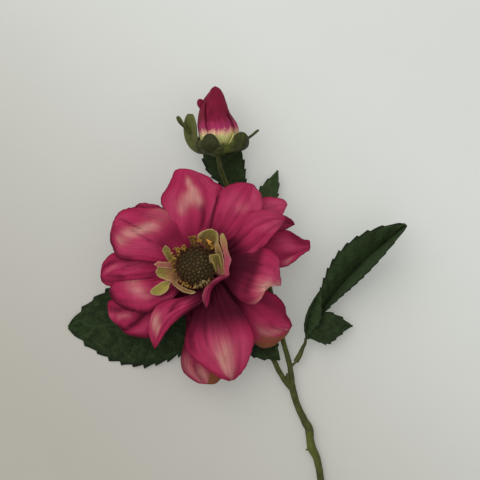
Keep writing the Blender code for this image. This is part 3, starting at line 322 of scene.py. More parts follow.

# Small petals round the seed head. Their look is how pink the root and the tip are (0 is yellow-green), how
# much painted shade darkens the middle and how pale the edge.
PETALOID_GROOVES = ((0, 0, 0.3, 0.15), (0.5, 0.5, 0.15, 0.12), (-0.5, -0.5, 0.15, 0.12))
PETALOIDS = (
    Flap(((-12.8, -8.5), (-13.2, -10.0), (-13.8, -11.4), (-14.9, -12.8), (-17.6, -14.1), (-20.5, -13.9)),
         ((-13.4, -6.9), (-16.2, -7.6), (-19.1, -9.3), (-21.2, -10.8), (-22.0, -11.9)),
         (-22.1, -12.9), (29.5, 31.0, 34.5), 0.9, (0, 0), (0.35, -0.15, 0.0, 0.6)),
    Flap(((-9.0, 1.8), (-12.3, 1.9), (-15.6, 1.8), (-18.4, 2.0)),
         ((-9.0, -1.1), (-12.3, -1.2), (-15.6, -0.8), (-18.4, -0.5)),
         (-20.4, 0.8), (29.5, 33.5, 36.5), -0.5, (0, 0), (0.50, 0.62, 0.0, 1.0)),
    Flap(((-9.0, -0.1), (-12.4, -0.2), (-15.7, -0.2), (-18.3, -0.7)),
         ((-10.0, -8.1), (-12.9, -7.6), (-15.7, -6.5), (-18.1, -5.5), (-19.1, -4.3)),
         (-19.5, -2.6), (29.4, 31.0, 34.0), 0.7, (0, 0), (0.95, -0.15, 0.0, 0.7)),
    Flap(((-9.0, 2.1), (-11.0, 4.1), (-12.1, 6.2), (-12.9, 8.4)),
         ((-11.6, 0.2), (-13.8, 2.6), (-15.3, 5.3), (-16.3, 7.7)),
         (-14.9, 9.8), (29.5, 32, 37), 0.8, (0, 0), (0.35, 0.0, 0.15, 0.5)),
    Flap(((11.8, 4.3), (11.2, 7.7), (10.7, 11.1), (10.7, 14.2), (9.9, 16.2)),
         ((3.6, 8.6), (1.5, 11.3), (0.3, 14.1), (2.0, 16.1), (4.7, 17.3)),
         (7.5, 17.8), (29.5, 35.5, 38.5), 2.0, (0, 0), (0.85, -0.15, 0.60, 0.5)),
    Flap(((13.1, -4.3), (13.4, -0.5), (13.1, 3.4), (12.3, 6.7), (11.3, 9.6)),
         ((9.7, -3.4), (10.1, 0.0), (9.9, 3.4), (9.3, 6.7), (8.8, 9.6)),
         (9.9, 12.3), (31, 39, 38.2), 0.7, (0, 0), (0.60, 0.25, 0.5, 0.3)),
    Flap(((15.3, -4.8), (15.5, -2.2), (16.0, 0.5), (16.8, 2.9), (15.8, 5.8), (15.1, 7.9), (14.8, 10.6),
          (14.1, 13.5)),
         ((12.8, -5.1), (13.1, -1.9), (13.3, 1.0), (13.4, 3.9), (12.9, 6.7), (12.2, 9.1), (11.4, 12.3),
          (11.5, 14.7)),
         (12.7, 16.0), (30, 38, 38.2), -0.6, (0, 0), (1.9, 0.1, 0.0, 0.3)),
    Flap(((-11.6, -7.6), (-9.4, -10.6), (-5.8, -12.7), (-2.4, -13.5)),
         ((-9.2, -7.8), (-6.5, -10.1), (-4.0, -11.3), (-1.4, -12.0)),
         (-0.1, -12.8), (29.5, 32.5, 34.2), 0.5, (0, 0), (0.45, 0.25, 0.1, 0.8)),
    Flap(((12.0, -1.5), (12.0, 1.7), (11.5, 4.2), (10.4, 5.7)),
         ((9.1, -2.9), (8.3, 0.3), (7.7, 2.4), (6.8, 4.0)),
         (6.5, 5.2), (30.5, 39.0, 41.4), 1.2, (0, 0), (-0.1, -0.1, 0.8, 0.15)),
    Flap(((8.6, -0.0), (8.0, 2.0), (7.6, 3.6)),
         ((7.6, -0.2), (6.7, 1.8), (6.3, 3.4)),
         (6.5, 5.3), (30.5, 39.5, 42.0), -0.3, (0, 0), (0.35, 0.25, 0.0, 1.0)),
)

# Tufts of stamens as (azimuth, reach, height, stamens, anther width, tone from brown to yellow)
TUFTS = (
    (97, 14.0, 37, 3, 0.32, 0.35), (92, 13.0, 36, 4, 0.36, 0.5), (83, 11.9, 36, 4, 0.38, 0.6),
    (62, 13.4, 37.5, 3, 0.42, 1.0), (54, 12.3, 37.5, 3, 0.38, 0.75), (122, 10.5, 37, 4, 0.38, 0.55),
    (136, 11.3, 37, 5, 0.38, 0.65), (146, 12.4, 36.5, 5, 0.36, 0.45), (156, 11.3, 36.5, 5, 0.38, 0.5),
    (174, 11.6, 36, 4, 0.34, 0.45), (187, 10.6, 36, 4, 0.36, 0.4), (198, 11.4, 35.5, 2, 0.34, 0.35),
    (231, 10.2, 37, 4, 0.38, 0.5), (244, 9.9, 37, 4, 0.38, 0.4), (257, 9.9, 36.5, 4, 0.36, 0.25),
    (274, 9.4, 37.6, 3, 0.46, 2.0), (287, 8.9, 38, 3, 0.48, 2.0), (307, 8.5, 38.6, 3, 0.46, 2.0),
)

# Bud shape as (place along, radius, shift to the right)
BUD_SHAPE = ((-0.10, 5.8, 0.2), (0, 7.6, 0.4), (0.15, 9.0, 0.8), (0.30, 8.8, 0.5), (0.40, 7.9, 0.0),
             (0.53, 6.8, -0.6), (0.72, 5.5, -0.2), (0.87, 3.7, 0.7), (0.95, 2.4, 0.8), (0.985, 1.2, 0.7),
             (1.0, 0.3, 0.7))

# Petals wrapped round the bud: azimuth of the middle, half spread in degrees, top along the bud,
# how far it stands off the body and how far its edges lift.
BUD_WRAPS = (
    (270, 78, 0.97, 0.10, 0.15),
    (100, 88, 0.95, 0.30, 0.20),
    (2, 43, 0.57, 1.00, 0.35),
    (193, 45, 0.80, 0.85, 0.45),
)

# Lobe that curls away near the bud's tip, as x, y, z and radius in the bud's own frame
BUD_LOBE = (
    (-5.2, -1.2, 18.5, 1.2), (-6.3, -1.6, 20.4, 1.55), (-6.9, -1.8, 22.0, 1.6), (-6.7, -1.7, 23.2, 1.2),
    (-6.5, -1.6, 23.7, 0.05),
)

BROAD = Half(5.0, 0.62, 0.42)
WIDE = Half(6.4, 0.58, 0.45)
SIDEWAYS = Half(4.6, 0.64, 0.42)
FINGER = Half(1.6, 0.72, 0.40)
THIN = Half(0.9, 0.75, 0.50)
BUD_SEPALS = (
    Blade((192, 4.0, -2.6), (192, 15.5, -3.6), (187, 12.4, 17.3), SIDEWAYS, SIDEWAYS, 0.9, 60, (0, 0)),
    Blade((254, 4.0, -2.6), (254, 16.0, -4.5), (252, 12.0, 6.4), BROAD, BROAD, 0.9, 0, (-22, -22)),
    Blade((318, 4.0, -2.6), (321, 16.6, -4.6), (331, 14.5, 6.2), WIDE, WIDE, 0.9, -24, (-10, -10)),
    Blade((40, 4.0, -2.6), (40, 14.0, -4.0), (40, 11.4, 6.0), BROAD, BROAD, 0.9, 0, (-20, -20)),
    Blade((125, 4.0, -2.6), (125, 15.0, -4.0), (125, 11.4, 8.0), BROAD, BROAD, 0.9, 0, (-20, -20)),
    Blade((288, 4.0, -2.6), (288, 14.0, -4.6), (288, 12.6, 0.4), BROAD, BROAD, 0.9, 0, (-15, -15)),
    Blade((222, 4.0, -2.6), (222, 13.0, -4.0), (220, 11.5, 3.6), BROAD, BROAD, 0.9, 0, (-15, -15)),
)
# Painted light and shade of each sepal, added to its wear: above 0 lighter, below 0 darker
SEPAL_LIGHT_AND_SHADE = (0.9, -1.5, -0.6, 0.0, 0.0, -0.3, -0.6)
BUD_FINGERS = (
    Blade((192, 13.2, 7.5), (191, 16.4, 10.6), (188, 19.0, 16.2), FINGER, FINGER, 0.9, 60, (0, 0)),
    Blade((-14, 12.0, 1.0), (-10, 16.0, 3.0), (-4, 20.8, 7.0), THIN, THIN, 0.9, -40, (0, 0)),
)

RIGHT_LEAFLETS = (
    Leaflet((54.0, -36.5, 6.0), (68.9, -7.3, -5.1), (104.1, 20.3, 14.0), 19, 0.65, (48, 77), 0.15, 13),
    Leaflet((54.0, -36.5, 6.0), (62.0, -29.0, 8.0), (77.5, -30.6, 5.0), 8.5, 0.45, (12, 18), 0.20, 6),
    Leaflet((54.0, -36.5, 6.0), (52.5, -24.0, 9.5), (62.0, -10.5, 15.0), 7, 0.45, (80, 20), 0.10, 6),
)
LEFT_LEAFLETS = (
    Leaflet((21.0, -30.5, 8.5), (-22.0, -27.8, 2.9), (-66.0, -31.5, 1.2), 21.4, 0.572, (6, 6), 0.22, 13),
    Leaflet((21.0, -30.5, 8.5), (31.0, -38.0, 9.5), (41.0, -47.5, 7.0), 8, 0.48, (5, 5), 0.15, 5),
    Leaflet((21.0, -30.5, 8.5), (15.0, -24.5, 10.8), (3.0, -23.5, 9.5), 5.5, 0.45, (15, 15), 0.10, 5),
)
TOP_LEAFLETS = (
    Leaflet((28.5, 23.5, 3.1), (19.5, 39.8, 1.4), (8.0, 63.0, 2.0), 10.4, 0.78, (8, 26), 0.12, 9),
    Leaflet((28.5, 23.5, 3.1), (35.0, 34.0, 3.5), (40.0, 47.5, 5.0), 5.0, 0.48, (10, 10), 0.15, 5),
    Leaflet((28.5, 23.5, 3.1), (20.0, 25.0, 2.6), (8.0, 33.0, 2.0), 6.5, 0.45, (8, 8), 0.10, 5),
)

# Routes of the stem as x, y, z and radius
MAIN_STEM = (
    (74, -180, 1.8, 1.8), (71, -160, 1.8, 1.75), (67, -138, 1.8, 1.75), (63.5, -120, 1.9, 1.75),
    (61.5, -107, 2.0, 1.75), (59.6, -97.5, 2.1, 1.85), (57, -91.8, 2.2, 2.2), (56.2, -87.5, 2.2, 2.0),
    (55.6, -82, 2.3, 2.15), (53, -77.5, 2.4, 1.85), (49.3, -69, 2.6, 1.7), (47, -60.5, 3.0, 1.9),
)
BUD_BRANCH = (
    (47.2, -61.5, 3.0, 1.6), (46.6, -55, 3.1, 1.4), (45.5, -48.5, 3.2, 1.3), (42.3, -37, 3.5, 1.25),
    (38.5, -22, 4.5, 1.25), (34, -5, 5.5, 1.25), (28.5, 12, 6.6, 1.25), (20.5, 28, 7.6, 1.2),
    (14.4, 40, 10.4, 1.2), (11.4, 48, 14.4, 1.2), (10.35, 53.4, 16.0, 1.1), (10.05, 57.8, 16.18, 1.1),
)
BLOOM_BRANCH = (
    (47.0, -62, 3.0, 1.6), (44.0, -58.5, 3.0, 1.45), (40.4, -53, 3.0, 1.3), (36.8, -46, 3.0, 1.3),
    (28, -36, 3.0, 1.4), (14.5, -18.5, 2.8, 1.4), (6, -7.5, 2.8, 1.35), (1.6, -2.0, 4.0, 1.3),
    (0.1, -0.1, 6.4, 1.15), (0, 0, 9.0, 1.15), (0, 0, 11.5, 1.1),
)
STUB = ((45.2, -59.5, 3.0, 1.4), (45.0, -56.5, 3.2, 1.2), (45.2, -54.4, 3.4, 1.0))
NIB = ((57.0, -91.5, 2.2, 1.2), (55.2, -92.4, 2.6, 0.7), (53.9, -92.8, 3.0, 0.3))

# Routes of the sprigs' sleeves, from the end that takes the peg
RIGHT_SLEEVE = (
    (48.9, -48.4, 4.6, SLEEVE_RADIUS), (50.9, -44.9, 4.9, SLEEVE_RADIUS),
    (52.4, -41.4, 4.9, 0.95), (53.6, -39.0, 4.8, 0.8),
)
LEFT_SLEEVE = (
    (24.5, -35.8, 4.8, SLEEVE_RADIUS), (21.9, -34.6, 6.1, SLEEVE_RADIUS),
    (21.0, -32.8, 6.8, 0.95), (20.9, -31.6, 7.0, 0.8),
)
TOP_SLEEVE = (
    (31.4, 9.0, 4.2, SLEEVE_RADIUS), (31.8, 12.6, 3.2, SLEEVE_RADIUS),
    (30.8, 17.0, 2.2, 0.95), (29.4, 20.8, 1.9, 0.85),
)

# Sprigs: side, leaflets, how much painted light lightens the green of each, sleeve, and where the peg
# leaves the stem
SPRIGS = (
    ("right", RIGHT_LEAFLETS, (0.6, 0.2, 0.5), RIGHT_SLEEVE, (45.9, -51.2, 3.2)),
    ("left", LEFT_LEAFLETS, (0.0, 0.0, 0.0), LEFT_SLEEVE, (27.6, -35.5, 3.0)),
    ("top", TOP_LEAFLETS, (0.35, 0.9, 0.3), TOP_SLEEVE, (30.0, 7.5, 6.3)),
)

# ------------------------------------------------------------------ stage, in metres
VIEW_CENTRE = (0.021, 0.0125, 0.005)  # what the camera looks down on, from the axis of the bloom
KEY_PLACE = (-0.45, 0.55, 1.0)  # from there to the large light
KEY_SIZE = 1.5
KEY_TINT = (1.0, 0.985, 0.96)
SKY_TINT = (1.0, 0.99, 0.97, 1.0)
LENS = 120.0  # in millimetres, like the sensor
SENSOR = 36.0
FLOOR_REACH = 6.0
FLOOR_DROP = 0.0002  # how far the floor lies under the spray, so that they don't share a plane
SHADE_SLANT = 1.1  # how much of the floor's shading runs along Y, against X
SHADE_REACH = 0.20  # from the middle of the shading to full colour on each side


# ------------------------------------------------------------------ settings
def colour(name, description, default):
    """Colour setting, in linear values."""
    return FloatVectorProperty(name=name, description=description, subtype="COLOR", size=3,
                               min=0.0, max=1.0, default=default)


def length(name, description, default):
    """Length setting, in metres."""
    return FloatProperty(name=name, description=description, default=default, min=0.0,
                         subtype="DISTANCE", unit="LENGTH")


class DAHLIA_PG_petals(bpy.types.PropertyGroup):
    thickness: length("Cloth thickness", "Thickness of the petals' cloth", 0.0004)
    magenta: colour("Magenta", "Colour of most of a petal", (0.395, 0.022, 0.085))
    edge: colour("Edge", "Colour along the edges of a petal", (0.33, 0.012, 0.058))
    # pale patches: partly printed streaks, partly painted highlight on ridges and sheen
    pale: colour("Pale patches", "Colour of the feathered pale patches", (0.62, 0.28, 0.25))
    # pink patches: partly printed streaks, partly painted highlight
    rose: colour("Rose patches", "Colour of the feathered pink patches", (0.53, 0.062, 0.145))
    # maroon: dark dye at the base, and also painted shade at the base, in the folds and over shaded petals
    maroon: colour("Maroon", "Colour of a petal's base", (0.055, 0.0015, 0.011))
    olive: colour("Olive tip", "Colour of the stained tips", (0.21, 0.075, 0.028))


class DAHLIA_PG_heart(bpy.types.PropertyGroup):
    seeds: IntProperty(name="Seeds", description="Seeds on the seed head", default=96, min=20, max=400)
    seed_radius: length("Seed radius", "Radius of one seed", 0.00088)
    seed_dark: colour("Seed base", "Colour between the seeds", (0.034, 0.020, 0.006))
    seed_rim: colour("Seed rim", "Colour of the outer seeds", (0.050, 0.012, 0.006))
    # seed tops: partly the seeds' tint, partly painted highlight
    seed_tip: colour("Seed tip", "Colour of the seeds' tops", (0.108, 0.080, 0.026))
    filament: colour("Filament", "Colour of the stamens' stalks", (0.28, 0.16, 0.045))
    anther: colour("Anther", "Colour of the brightest anthers", (0.82, 0.42, 0.07))
    tan: colour("Ochre anther", "Colour of most anthers", (0.42, 0.25, 0.045))
    ivory: colour("Ivory anther", "Colour of the pale anthers", (0.33, 0.27, 0.12))
    brown: colour("Brown anther", "Colour of the dark anthers", (0.14, 0.06, 0.014))
    green: colour("Petaloid green", "Green of the small petals", (0.35, 0.285, 0.065))
    petaloid: length("Petaloid cloth", "Thickness of the small petals' cloth", 0.00035)
    pink: colour("Petaloid pink", "Pink of the small petals", (0.47, 0.075, 0.13))
    cream: colour("Petaloid edge", "Pale edge of the small petals", (0.62, 0.44, 0.25))
    shadow: colour("Petaloid shadow", "Colour of the folds of the small petals", (0.06, 0.030, 0.010))


class DAHLIA_PG_bud(bpy.types.PropertyGroup):
    thickness: length("Cloth thickness", "Thickness of the bud's cloth", 0.00045)
    crimson: colour("Crimson", "Colour of the bud's upper part", (0.215, 0.010, 0.036))
    rose: colour("Rose", "Colour of the band below it", (0.42, 0.035, 0.125))
    peach: colour("Peach", "Colour between the rose and the yellow", (0.86, 0.48, 0.34))
    yellow: colour("Yellow", "Colour of the bud's base", (0.95, 0.91, 0.36))
    foot: colour("Green foot", "Colour of the bud inside its cup", (0.30, 0.34, 0.04))
    # painted shade: darker streaks for the folds of the upper part
    fold: colour("Fold", "Colour of the folds of the upper part", (0.10, 0.004, 0.022))
    # painted shadow where one petal ends over the next
    seam: colour("Seam", "Colour where one petal ends over the next", (0.05, 0.002, 0.008))
    sepal: colour("Sepal", "Colour of the sepals", (0.075, 0.090, 0.014))
    sepal_dark: colour("Dark sepal", "Colour of the sepals' stains", (0.026, 0.026, 0.006))


class DAHLIA_PG_leaves(bpy.types.PropertyGroup):
    thickness: length("Cloth thickness", "Thickness of the leaves' cloth", 0.0004)
    green: colour("Green", "Colour of the leaves", (0.0135, 0.0255, 0.0068))
    light: colour("Light green", "Colour between the veins", (0.029, 0.052, 0.016))
    vein: colour("Vein", "Colour of the veins", (0.047, 0.076, 0.026))
    # painted light: lighter green for leaflets that lie turned away from the lamp
    fresh: colour("Painted light green", "Colour of the lighter leaflets", (0.075, 0.125, 0.045))
    edge: colour("Cut edge", "Colour along the cut edge", (0.006, 0.012, 0.006))


class DAHLIA_PG_stem(bpy.types.PropertyGroup):
    olive: colour("Olive", "Colour of the moulded stem", (0.092, 0.106, 0.018))
    dark: colour("Dark olive", "Colour of the stained parts", (0.045, 0.052, 0.012))
    # also used as painted light on the brightest sepal
    worn: colour("Worn ridges", "Colour of ridges and edges", (0.12, 0.13, 0.035))
    # painted shade for the sepals that face away from the lamp
    painted_shade: colour("Shaded plastic", "Colour of the darkest sepals", (0.018, 0.016, 0.004))
    bare: colour("Steel", "Colour of the wire", (0.35, 0.34, 0.32))


class DAHLIA_PG_stage(bpy.types.PropertyGroup):
    floor: colour("Floor", "Colour of the floor", (0.53, 0.55, 0.525))
    floor_dim: colour("Dim floor", "Colour of the floor where its shading starts, towards -X and -Y",
                      (0.345, 0.332, 0.298))
    glow: FloatProperty(name="Floor glow", description="Share of its colour that the floor gives off",
                        default=0.4, min=0.0)
    key: FloatProperty(name="Key light", description="Power of the large soft light", default=9.0,
                       min=0.0, unit="POWER")
    ambient: FloatProperty(name="Ambient", description="Strength of the light from all round",
                           default=0.55, min=0.0)
    camera_height: length("Camera height", "Height of the camera above the spray", 0.8)


GROUPS = (DAHLIA_PG_petals, DAHLIA_PG_heart, DAHLIA_PG_bud, DAHLIA_PG_leaves, DAHLIA_PG_stem,
          DAHLIA_PG_stage)


def settings(name):
    """Settings of one part of the spray."""
    return getattr(bpy.context.scene, "dahlia_" + name)


def part_of(group):
    """Name of the part that a group of settings belongs to."""
    return group.__name__.split("_PG_")[1]


# ------------------------------------------------------------------ meshes
def smoothstep(low, high, x):
    """Smooth rise from 0 at low to 1 at high."""
    s = np.clip((np.asarray(x, float) - low) / (high - low), 0, 1)
    return s * s * (3 - 2 * s)


def hump(x, centre, width):
    """Bell of height 1."""
    return np.exp(-((x - centre) / width) ** 2)


def quadratic(a, b, c, u):
    """Points of a quadratic curve with control points a, b and c."""
    u = np.asarray(u)[..., None]
    return np.asarray(a) * (1 - u) ** 2 + np.asarray(b) * (2 * u * (1 - u)) + np.asarray(c) * u * u


def polar(azimuth, radius, height):
    """Point at an azimuth in degrees round the axis."""
    turn = np.radians(azimuth)
    return np.array([radius * np.cos(turn), radius * np.sin(turn), height])


def unit(vectors):
    """Vectors scaled to length 1."""
    return vectors / np.maximum(np.linalg.norm(vectors, axis=-1, keepdims=True), 1e-9)


def spline(points, count):
    """Catmull-Rom curve through points, sampled at equal shares of its length."""
    rows = np.array(points, float)
    rows = np.vstack([2 * rows[0] - rows[1], rows, 2 * rows[-1] - rows[-2]])
    fine = []
    for a, b, c, d in zip(rows, rows[1:], rows[2:], rows[3:]):
        t = np.linspace(0, 1, 17)[:-1, None]
        fine.append(0.5 * (2 * b + (c - a) * t + (2 * a - 5 * b + 4 * c - d) * t ** 2
                           + (3 * b - a - 3 * c + d) * t ** 3))
    fine = np.vstack([*fine, rows[-2][None]])
    reach = np.concatenate([[0], np.cumsum(np.linalg.norm(np.diff(fine, axis=0), axis=1))])
    at = np.linspace(0, reach[-1], count)
    return np.stack([np.interp(at, reach, column) for column in fine.T], axis=1)


def chart(v, t):
    """UVs of a grid whose sides run from -1 to 1 and whose places along it run from 0 to 1."""
    return np.stack(np.broadcast_arrays((v + 1) / 2, t), axis=-1)


def first_step(route):
    """Start of a route, and its direction there."""
    start, after = (np.array(stop[:3], float) for stop in route[:2])
    return start, unit(after - start)


def rough(points, scale, seed):
    """Smooth noise from -1 to 1 at each point of an array."""
    flat = points.reshape(-1, points.shape[-1])
    shift = (seed, -seed, 0.0)
    values = [noise.noise(Vector([p[k] * scale + shift[k] for k in range(3)])) for p in flat]
    return np.array(values).reshape(points.shape[:-1])


class Shell:
    """Points, faces, UVs and fields of a piece while it is built, in millimetres."""

    def __init__(self):
        self.points, self.faces, self.uvs, self.fields, self.count = [], [], [], {}, 0

    def grid(self, points, uv=None, wrap=False, **fields):
        """Add a grid of points, closed round its columns if wrap is set."""
        rows, columns = points.shape[:2]
        fields = {name: np.broadcast_to(value, (rows, columns)).ravel() for name, value in fields.items()}
        index = np.arange(rows * columns).reshape(rows, columns) + self.count
        after = np.roll(index, -1, axis=1)
        last = columns if wrap else columns - 1
        quads = np.stack([index[:-1, :last], after[:-1, :last], after[1:, :last], index[1:, :last]],
                         axis=-1)
        self._add(points.reshape(-1, 3), quads.reshape(-1, 4).tolist(), uv, fields)

    def _add(self, points, faces, uv, fields):
        size = len(points)
        for name in set(self.fields) | set(fields):
            column = self.fields.setdefault(name, [np.zeros(self.count)] if self.count else [])
            column.append(np.broadcast_to(np.asarray(fields.get(name, 0.0), float), (size,)))
        self.points.append(points)
        self.faces += faces
        self.uvs.append(np.zeros((size, 2)) if uv is None else np.asarray(uv).reshape(-1, 2))
        self.count += size

    def cap(self, ring, **fields):
        """Close a ring of points with a fan round its centre."""
        centre = ring.mean(axis=0)
        size = len(ring)
        points = np.vstack([ring, centre])
        start = self.count
        faces = [[start + k, start + (k + 1) % size, start + size] for k in range(size)]
        self._add(points, faces, None, fields)

    def make(self, name, material, thickness=0.0, sharp=60):
        """Finished object in metres, riding on the root body."""
        points = np.vstack(self.points) / 1000 + ORIGIN
        mesh = bpy.data.meshes.new(name)
        mesh.from_pydata(points.tolist(), [], self.faces)
        layer = mesh.uv_layers.new(name="shape")
        loops = np.empty(len(mesh.loops), dtype=np.int32)
        mesh.loops.foreach_get("vertex_index", loops)
        layer.data.foreach_set("uv", np.vstack(self.uvs)[loops].astype(np.float32).ravel())
        for field, columns in self.fields.items():
            values = np.concatenate(columns).astype(np.float32)
            mesh.attributes.new(field, "FLOAT", "POINT").data.foreach_set("value", values)
        mesh.materials.append(material)
        mesh.shade_smooth()
        mesh.set_sharp_from_angle(angle=math.radians(sharp))
        obj = bpy.data.objects.new(name, mesh)
        bpy.context.collection.objects.link(obj)
        if thickness:
            solid = obj.modifiers.new("Thickness", "SOLIDIFY")
            solid.thickness = thickness
            solid.offset = 0.0
        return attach(obj, "root")


def grooved(sides, along, grooves):
    """Lengthwise grooves along a blade, shallow at its root and its tip, as a height."""
    height = np.zeros(np.broadcast(sides, along).shape)
    swell = np.sin(np.pi * np.clip(along, 0, 1)) ** 0.6
    for root, tip, depth, width in grooves:
        height -= depth * hump(sides, root + (tip - root) * along, width) * swell
    return height


def patched(sides, along, patches):
    """Strength of soft patches over a blade, each a bell round a line on its surface."""
    left = np.ones(np.broadcast(sides, along).shape)
    for side, start, far_side, end, width, strength in patches:
        run, rise = far_side - side, 2.5 * (end - start)
        share = ((sides - side) * run + 2.5 * (along - start) * rise) / (run * run + rise * rise)
        share = np.clip(share, 0, 1)
        away = (sides - side - share * run) ** 2 + (2.5 * (along - start) - share * rise) ** 2
        left = left * (1 - strength * np.exp(-away / width ** 2))
    return 1 - left


def petal_fields(sides, along, look, number):
    """Fields that the petal cloth reads; number sets its streaks apart from the next petal's."""
    strength, side, width, start = look.olive
    base = look.base * (1 - smoothstep(look.reach - 0.22, look.reach + 0.10, along))
    dark = patched(sides, along, look.dark)
    return {
        "pale": patched(sides, along, look.pale),
        "pink": patched(sides, along, look.pink),
        # deep: dark dye at the base, plus painted shade at the base, in the folds and over whole shaded
        # petals
        "deep": 1 - (1 - look.shade) * (1 - base) * (1 - dark),
        "olive": strength * hump(sides, side, width) * smoothstep(start, start + 0.16, along),
        "seed": 1.37 * number,
    }


def between(right, left, tip, rows, columns, seed, torn=0.55):
    """Flat grid between two outlines that meet at a tip, with slightly torn edges: points, t and v."""
    t = np.linspace(0, 1, rows + 1)[:, None]
    v = np.linspace(-1, 1, columns + 1)[None, :]
    edges = []
    for way, outline in ((1, right), (-1, left)):
        edge = spline([*outline, tip], rows + 1)
        run = np.gradient(edge, axis=0)
        out = unit(np.stack([run[:, 1], -run[:, 0]], axis=1)) * way
        tear = rough(np.column_stack([edge, np.zeros(rows + 1)]), 0.85, 11.0 * seed + way)
        fade = smoothstep(0.4, 0.7, t[:, 0]) * (1 - smoothstep(0.985, 1, t[:, 0]))
        edges.append(edge + out * (torn * tear * fade)[:, None])
    share = ((v + 1) / 2)[..., None]
    flat = edges[0][:, None] * (1 - share) + edges[1][:, None] * share
    flat[-1] = 0.35 * flat[-2] + 0.65 * flat[-1]
    return flat, t, v


def cut_petal(shell, petal, number, rows=44, columns=30):
    """Petal between its two outlines, arched along its midline, cupped and grooved."""
    tip = (np.array(petal.right[-1], float) + petal.left[-1]) / 2
    flat, t, v = between([(3.0, -2.6), *petal.right], [(3.0, 2.6), *petal.left], tip, rows, columns, number)
    half = np.linalg.norm(flat[:, -1] - flat[:, 0], axis=1)[:, None] / 2
    way, start, end = petal.frill
    if way:
        reach = flat[..., 0]
        ripple = np.sin(reach * 2 * np.pi / FRILL_LENGTH + 0.8 * np.sin(reach))
        ripple = ripple * smoothstep(0.55, 1, v * way)
        ripple = ripple * smoothstep(start, start + 0.06, t) * (1 - smoothstep(end - 0.06, end, t))
        flat[..., 1] += 0.40 * ripple * way
    along, across = flat[..., 0], flat[..., 1]
    line = quadratic(petal.root, petal.mid, petal.tip, np.linspace(0, 1, 60))
    height = np.interp(along, line[:, 0], line[:, 1])
    bend = np.radians(np.where(v < 0, petal.cup[0], petal.cup[1]))
    height = height - 0.7 * half * (1 - np.cos(bend * abs(v))) / bend
    height = height - 1.0 * np.clip((t - 0.86) / 0.14, 0, 1) ** 2 + grooved(v, t, petal.grooves)
    if way:
        height = height + 0.45 * ripple
    turn = math.radians(petal.azimuth)
    x = along * math.cos(turn) - across * math.sin(turn)
    y = along * math.sin(turn) + across * math.cos(turn)
    points = np.stack([x, y, height], axis=-1)
    crumple = rough(points, 0.16, 3.0 * number) * 0.7 + rough(points, 0.4, number) * 0.22
    wave = rough(points, 0.11, 5.0 * number + 3) * 2.4 * smoothstep(0.5, 1, abs(v))
    points[..., 2] += (crumple + wave) * smoothstep(0.25, 0.6, t)
    shell.grid(points, chart(v, t), **petal_fields(v, t, petal.look, number))


def flap_grid(flap, number, rows, columns, hub, torn=0.3):
    """Points of a flap that comes from under the seed head, with their places across and along."""
    middle = (np.array(flap.right[0], float) + flap.left[0]) / 2
    span = (np.array(flap.left[0], float) - flap.right[0]) / 2
    root = middle / np.linalg.norm(middle) * hub
    flat, t, v = between([root - span * 0.6, *flap.right], [root + span * 0.6, *flap.left], flap.tip,
                         rows, columns, number, torn)
    low, mid, high = flap.lift
    height = low * (1 - t) ** 2 + mid * 2 * t * (1 - t) + high * t * t
    height = height - flap.cup * (1 - v * v) * np.sin(np.pi * np.clip(t, 0, 1)) ** 0.7
    height = height + np.where(v < 0, flap.raised[0], flap.raised[1]) * abs(v) ** 2 * np.sin(np.pi * t)
    points = np.concatenate([flat, height[..., None]], axis=-1)
    points[..., 2] += rough(points, 0.45, 7.0 * number) * 0.35 * smoothstep(0.2, 0.6, t)
    return points, v, t


def half_width(side, neck, u):
    """Half width on one side: a neck that swells to the widest place and closes at the tip."""
    low = side.half * (neck + (1 - neck) * np.sin(np.pi / 2 * u / side.widest))
    t = np.clip((u - side.widest) / (1 - side.widest), 0, 1)
    return np.where(u < side.widest, low, side.half * (1 - t * t) ** side.point)


def blade_grid(blade, rows=24, columns=14, tip=0.992):
    """Points of a blade round an axis, with their sides, places along and normals."""
    u = tip * (1 - (1 - np.linspace(0, 1, rows + 1)) ** 1.35)
    v = np.linspace(-1, 1, columns + 1)
    root, mid, end = (polar(*point) for point in (blade.root, blade.mid, blade.tip))
    centre = quadratic(root, mid, end, u)
    tangent = unit((mid - root) * (1 - u[:, None]) + (end - mid) * u[:, None])
    chord = math.radians(blade.tip[0]) if blade.root[0] == blade.tip[0] else math.atan2(
        end[1] - root[1], end[0] - root[0])
    side = np.array([-math.sin(chord), math.cos(chord), 0.0])
    side = unit(side - (tangent @ side)[:, None] * tangent)
    turn = np.radians(blade.roll) * u[:, None]
    side = side * np.cos(turn) + np.cross(tangent, side) * np.sin(turn)
    normal = np.cross(tangent, side)
    cup = np.radians(np.where(v < 0, *blade.cup)) + 1e-6
    half = np.where(v[None] < 0, half_width(blade.right, blade.neck, u)[:, None],
                    half_width(blade.left, blade.neck, u)[:, None])
    bend = cup * abs(v)
    reach = half * (np.sin(bend) / cup) * np.sign(v)
    drop = half * (1 - np.cos(bend)) / cup
    points = centre[:, None] + side[:, None] * reach[..., None] - normal[:, None] * drop[..., None]
    return points, v[None, :], u[:, None] / tip, np.broadcast_to(normal[:, None], points.shape)


def turned(shell, profile, sides=40, **fields):
    """Body turned about the axis from (radius, height) points."""
    turn = np.linspace(0, 2 * np.pi, sides, endpoint=False)
    rows = np.array(profile, float)
    points = np.stack([rows[:, :1] * np.cos(turn), rows[:, :1] * np.sin(turn),
                       np.repeat(rows[:, 1:], sides, axis=1)], axis=-1)
    uv = np.stack(np.broadcast_arrays(turn[None] / (2 * np.pi), np.linspace(0, 1, len(rows))[:, None]),
                  axis=-1)
    shell.grid(points, uv, wrap=True, **fields)


